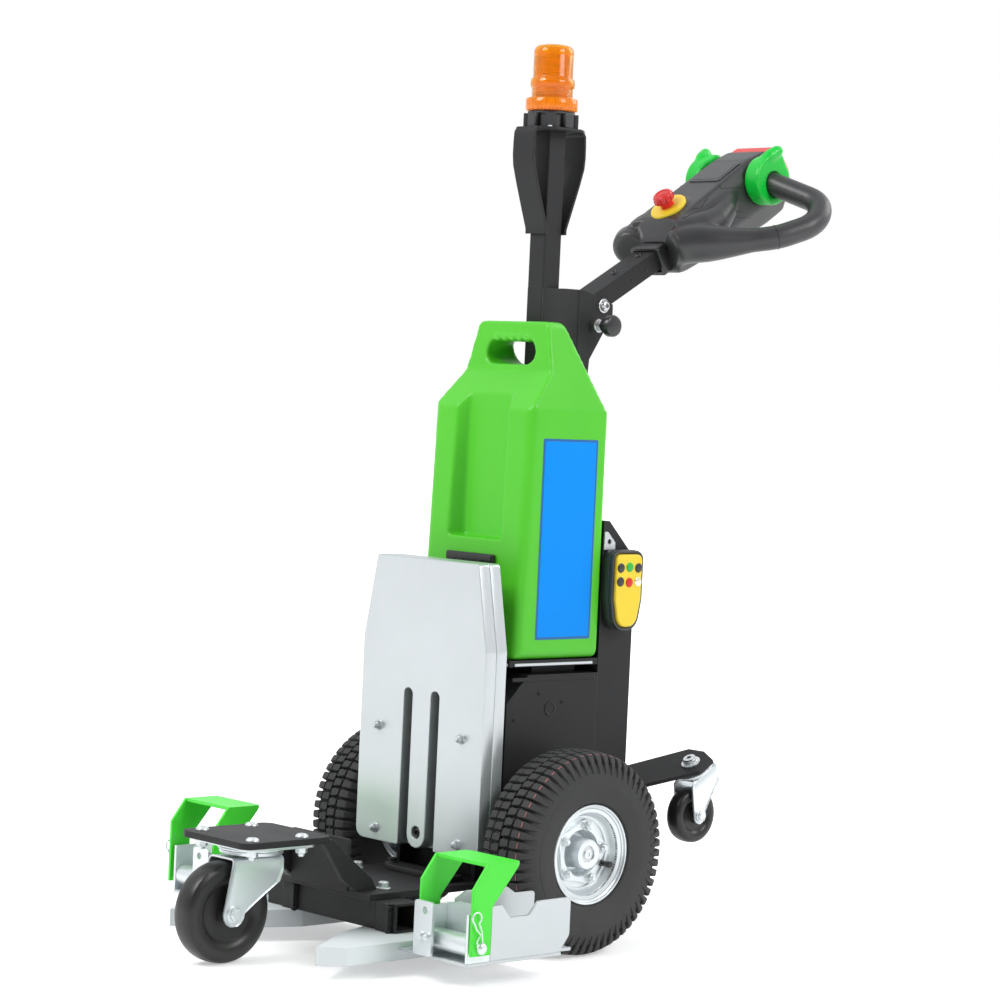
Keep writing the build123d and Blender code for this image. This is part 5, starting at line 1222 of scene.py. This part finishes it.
# Stage and panel
class TRACTOR_OT_stage(Operator):
    """Set the pale floor, the soft light and the camera"""
    bl_idname = "tractor.stage"
    bl_label = "Stage"

    def execute(self, context):
        scene = context.scene
        # Where the camera stands: its turn and height, the picture's lean, distance and aim
        turn, lift, lean, distance = radians(47.36), radians(2.11), radians(2.62), 3.8498
        target = Vector((0.04356, -0.03812 + AXLE_Y, 0.56832))
        back = Vector((sin(turn) * cos(lift), -cos(turn) * cos(lift), sin(lift)))
        right = (-back).cross(Vector((0, 0, 1))).normalized()
        top = right.cross(-back)
        across = cos(lean) * right + sin(lean) * top
        upward = -sin(lean) * right + cos(lean) * top
        data = bpy.data.cameras.new("camera")
        sensor, focal_share = 36.0, 2.99825
        data.sensor_width = sensor
        data.sensor_fit = "HORIZONTAL"
        data.lens = sensor * focal_share
        data.clip_end = 60.0
        camera = bpy.data.objects.new("camera", data)
        scene.collection.objects.link(camera)
        camera.matrix_world = (Matrix.Translation(target + back * distance)
                               @ Matrix((across, upward, back)).transposed().to_4x4())
        scene.camera = camera
        scene.view_settings.view_transform = "Standard"

        bm = bmesh.new()
        bmesh.ops.create_grid(bm, x_segments=8, y_segments=8, size=30)
        mesh = bpy.data.meshes.new("floor")
        bm.to_mesh(mesh)
        bm.free()
        floor = bpy.data.objects.new("floor", mesh)
        scene.collection.objects.link(floor)
        paper = bpy.data.materials.new("Pale floor")
        paper.use_nodes = True
        tree = paper.node_tree
        tree.nodes.remove(tree.nodes["Principled BSDF"])
        rays = put(tree, "ShaderNodeLightPath").outputs
        seen = calc(tree, "ADD", rays["Is Camera Ray"], rays["Is Glossy Ray"])
        seen = calc(tree, "ADD", seen, rays["Is Transmission Ray"], True)
        place = object_place(tree)
        reach = put(tree, "ShaderNodeVectorMath", {0: place}, operation="LENGTH")
        far = put(tree, "ShaderNodeMapRange", {
            "Value": reach.outputs["Value"], "From Min": 0.6, "From Max": 3.0, "To Min": 0.42, "To Max": 1.0})
        strength = calc(tree, "MULTIPLY", seen, far.outputs[0])
        cloud = put(tree, "ShaderNodeTexNoise", {"Vector": place, "Scale": 3.0, "Detail": 3.0})
        tone = blend_colour(tree, cloud.outputs["Fac"], (0.80, 0.80, 0.80), (0.84, 0.84, 0.84))
        matt = put(tree, "ShaderNodeBsdfDiffuse", {"Color": tone})
        glow = put(tree, "ShaderNodeEmission", {"Strength": strength})
        both = put(tree, "ShaderNodeAddShader", {0: matt.outputs[0], 1: glow.outputs[0]})
        tree.links.new(both.outputs[0], tree.nodes["Material Output"].inputs["Surface"])
        mesh.materials.append(paper)

        world = bpy.data.worlds.new("studio")
        scene.world = world
        world.use_nodes = True
        tree = world.node_tree
        shown = put(tree, "ShaderNodeBackground", {"Color": (1, 1, 1, 1), "Strength": 1.0})
        dome_light = tree.nodes["Background"]
        dome_light.inputs["Color"].default_value = (0.97, 0.985, 1.0, 1)
        way = put(tree, "ShaderNodeTexCoord").outputs["Generated"]
        facing = put(tree, "ShaderNodeVectorMath", {0: way, 1: (0.72, -0.66, 0.2)}, operation="DOT_PRODUCT")
        room = put(tree, "ShaderNodeMapRange", {
            "Value": facing.outputs["Value"], "From Min": 0.1, "From Max": 0.85,
            "To Min": 0.8, "To Max": 0.16})
        rays = put(tree, "ShaderNodeLightPath").outputs
        lift = put(tree, "ShaderNodeMapRange", {
            "Value": rays["Is Glossy Ray"], "To Min": 1.0, "To Max": 1.25})
        power = calc(tree, "MULTIPLY", room.outputs[0], lift.outputs[0])
        tree.links.new(power, dome_light.inputs["Strength"])
        seen = calc(tree, "ADD", rays["Is Camera Ray"], rays["Is Transmission Ray"], True)
        pick = put(tree, "ShaderNodeMixShader", {0: seen, 1: dome_light.outputs[0], 2: shown.outputs[0]})
        tree.links.new(pick.outputs[0], tree.nodes["World Output"].inputs["Surface"])

        # Columns: name, place, aim, size, power
        for name, place, aim, size, power in (
                ("key", (-0.6, -2.4, 2.8), (0, 0, 0.6), 1.4, 70),
                ("fill", (2.8, 0.5, 2.4), (0, 0, 0.5), 1.4, 52),
                ("rim", (0.6, 2.8, 2.4), (0, 0, 0.7), 1.6, 26)):
            lamp = bpy.data.lights.new(name, "AREA")
            lamp.shape = "SQUARE"
            lamp.size = size
            lamp.energy = power
            item = bpy.data.objects.new(name, lamp)
            scene.collection.objects.link(item)
            item.matrix_world = along(Vector(place), Vector(place) - Vector(aim))
        return {"FINISHED"}


OPERATORS = (
    TRACTOR_OT_finishes, TRACTOR_OT_tyres, TRACTOR_OT_rims, TRACTOR_OT_castors, TRACTOR_OT_battery,
    TRACTOR_OT_ballast, TRACTOR_OT_beacon, TRACTOR_OT_tiller, TRACTOR_OT_coupling, TRACTOR_OT_chassis,
    TRACTOR_OT_remote, TRACTOR_OT_stage,
)


class TRACTOR_PT_panel(Panel):
    """Lists the tractor's sizes, colours and pieces"""
    bl_idname = "TRACTOR_PT_panel"
    bl_label = "Tow tractor"
    bl_space_type = "VIEW_3D"
    bl_region_type = "UI"
    bl_category = "Tow tractor"

    def draw(self, context):
        for settings in (context.scene.tractor_sizes, context.scene.tractor_colours):
            box = self.layout.box()
            for name in settings.__annotations__:
                box.prop(settings, name)
        for operator in OPERATORS:
            self.layout.operator(operator.bl_idname)


CLASSES = (TractorSizes, TractorColours, *OPERATORS, TRACTOR_PT_panel)


def register():
    for cls in CLASSES:
        bpy.utils.register_class(cls)
    bpy.types.Scene.tractor_sizes = PointerProperty(type=TractorSizes)
    bpy.types.Scene.tractor_colours = PointerProperty(type=TractorColours)


def unregister():
    del bpy.types.Scene.tractor_colours
    del bpy.types.Scene.tractor_sizes
    for cls in reversed(CLASSES):
        bpy.utils.unregister_class(cls)


def main():
    register()
    for operator in OPERATORS:
        group, name = operator.bl_idname.split(".")
        getattr(getattr(bpy.ops, group), name)()


if __name__ == "__main__":
    main()
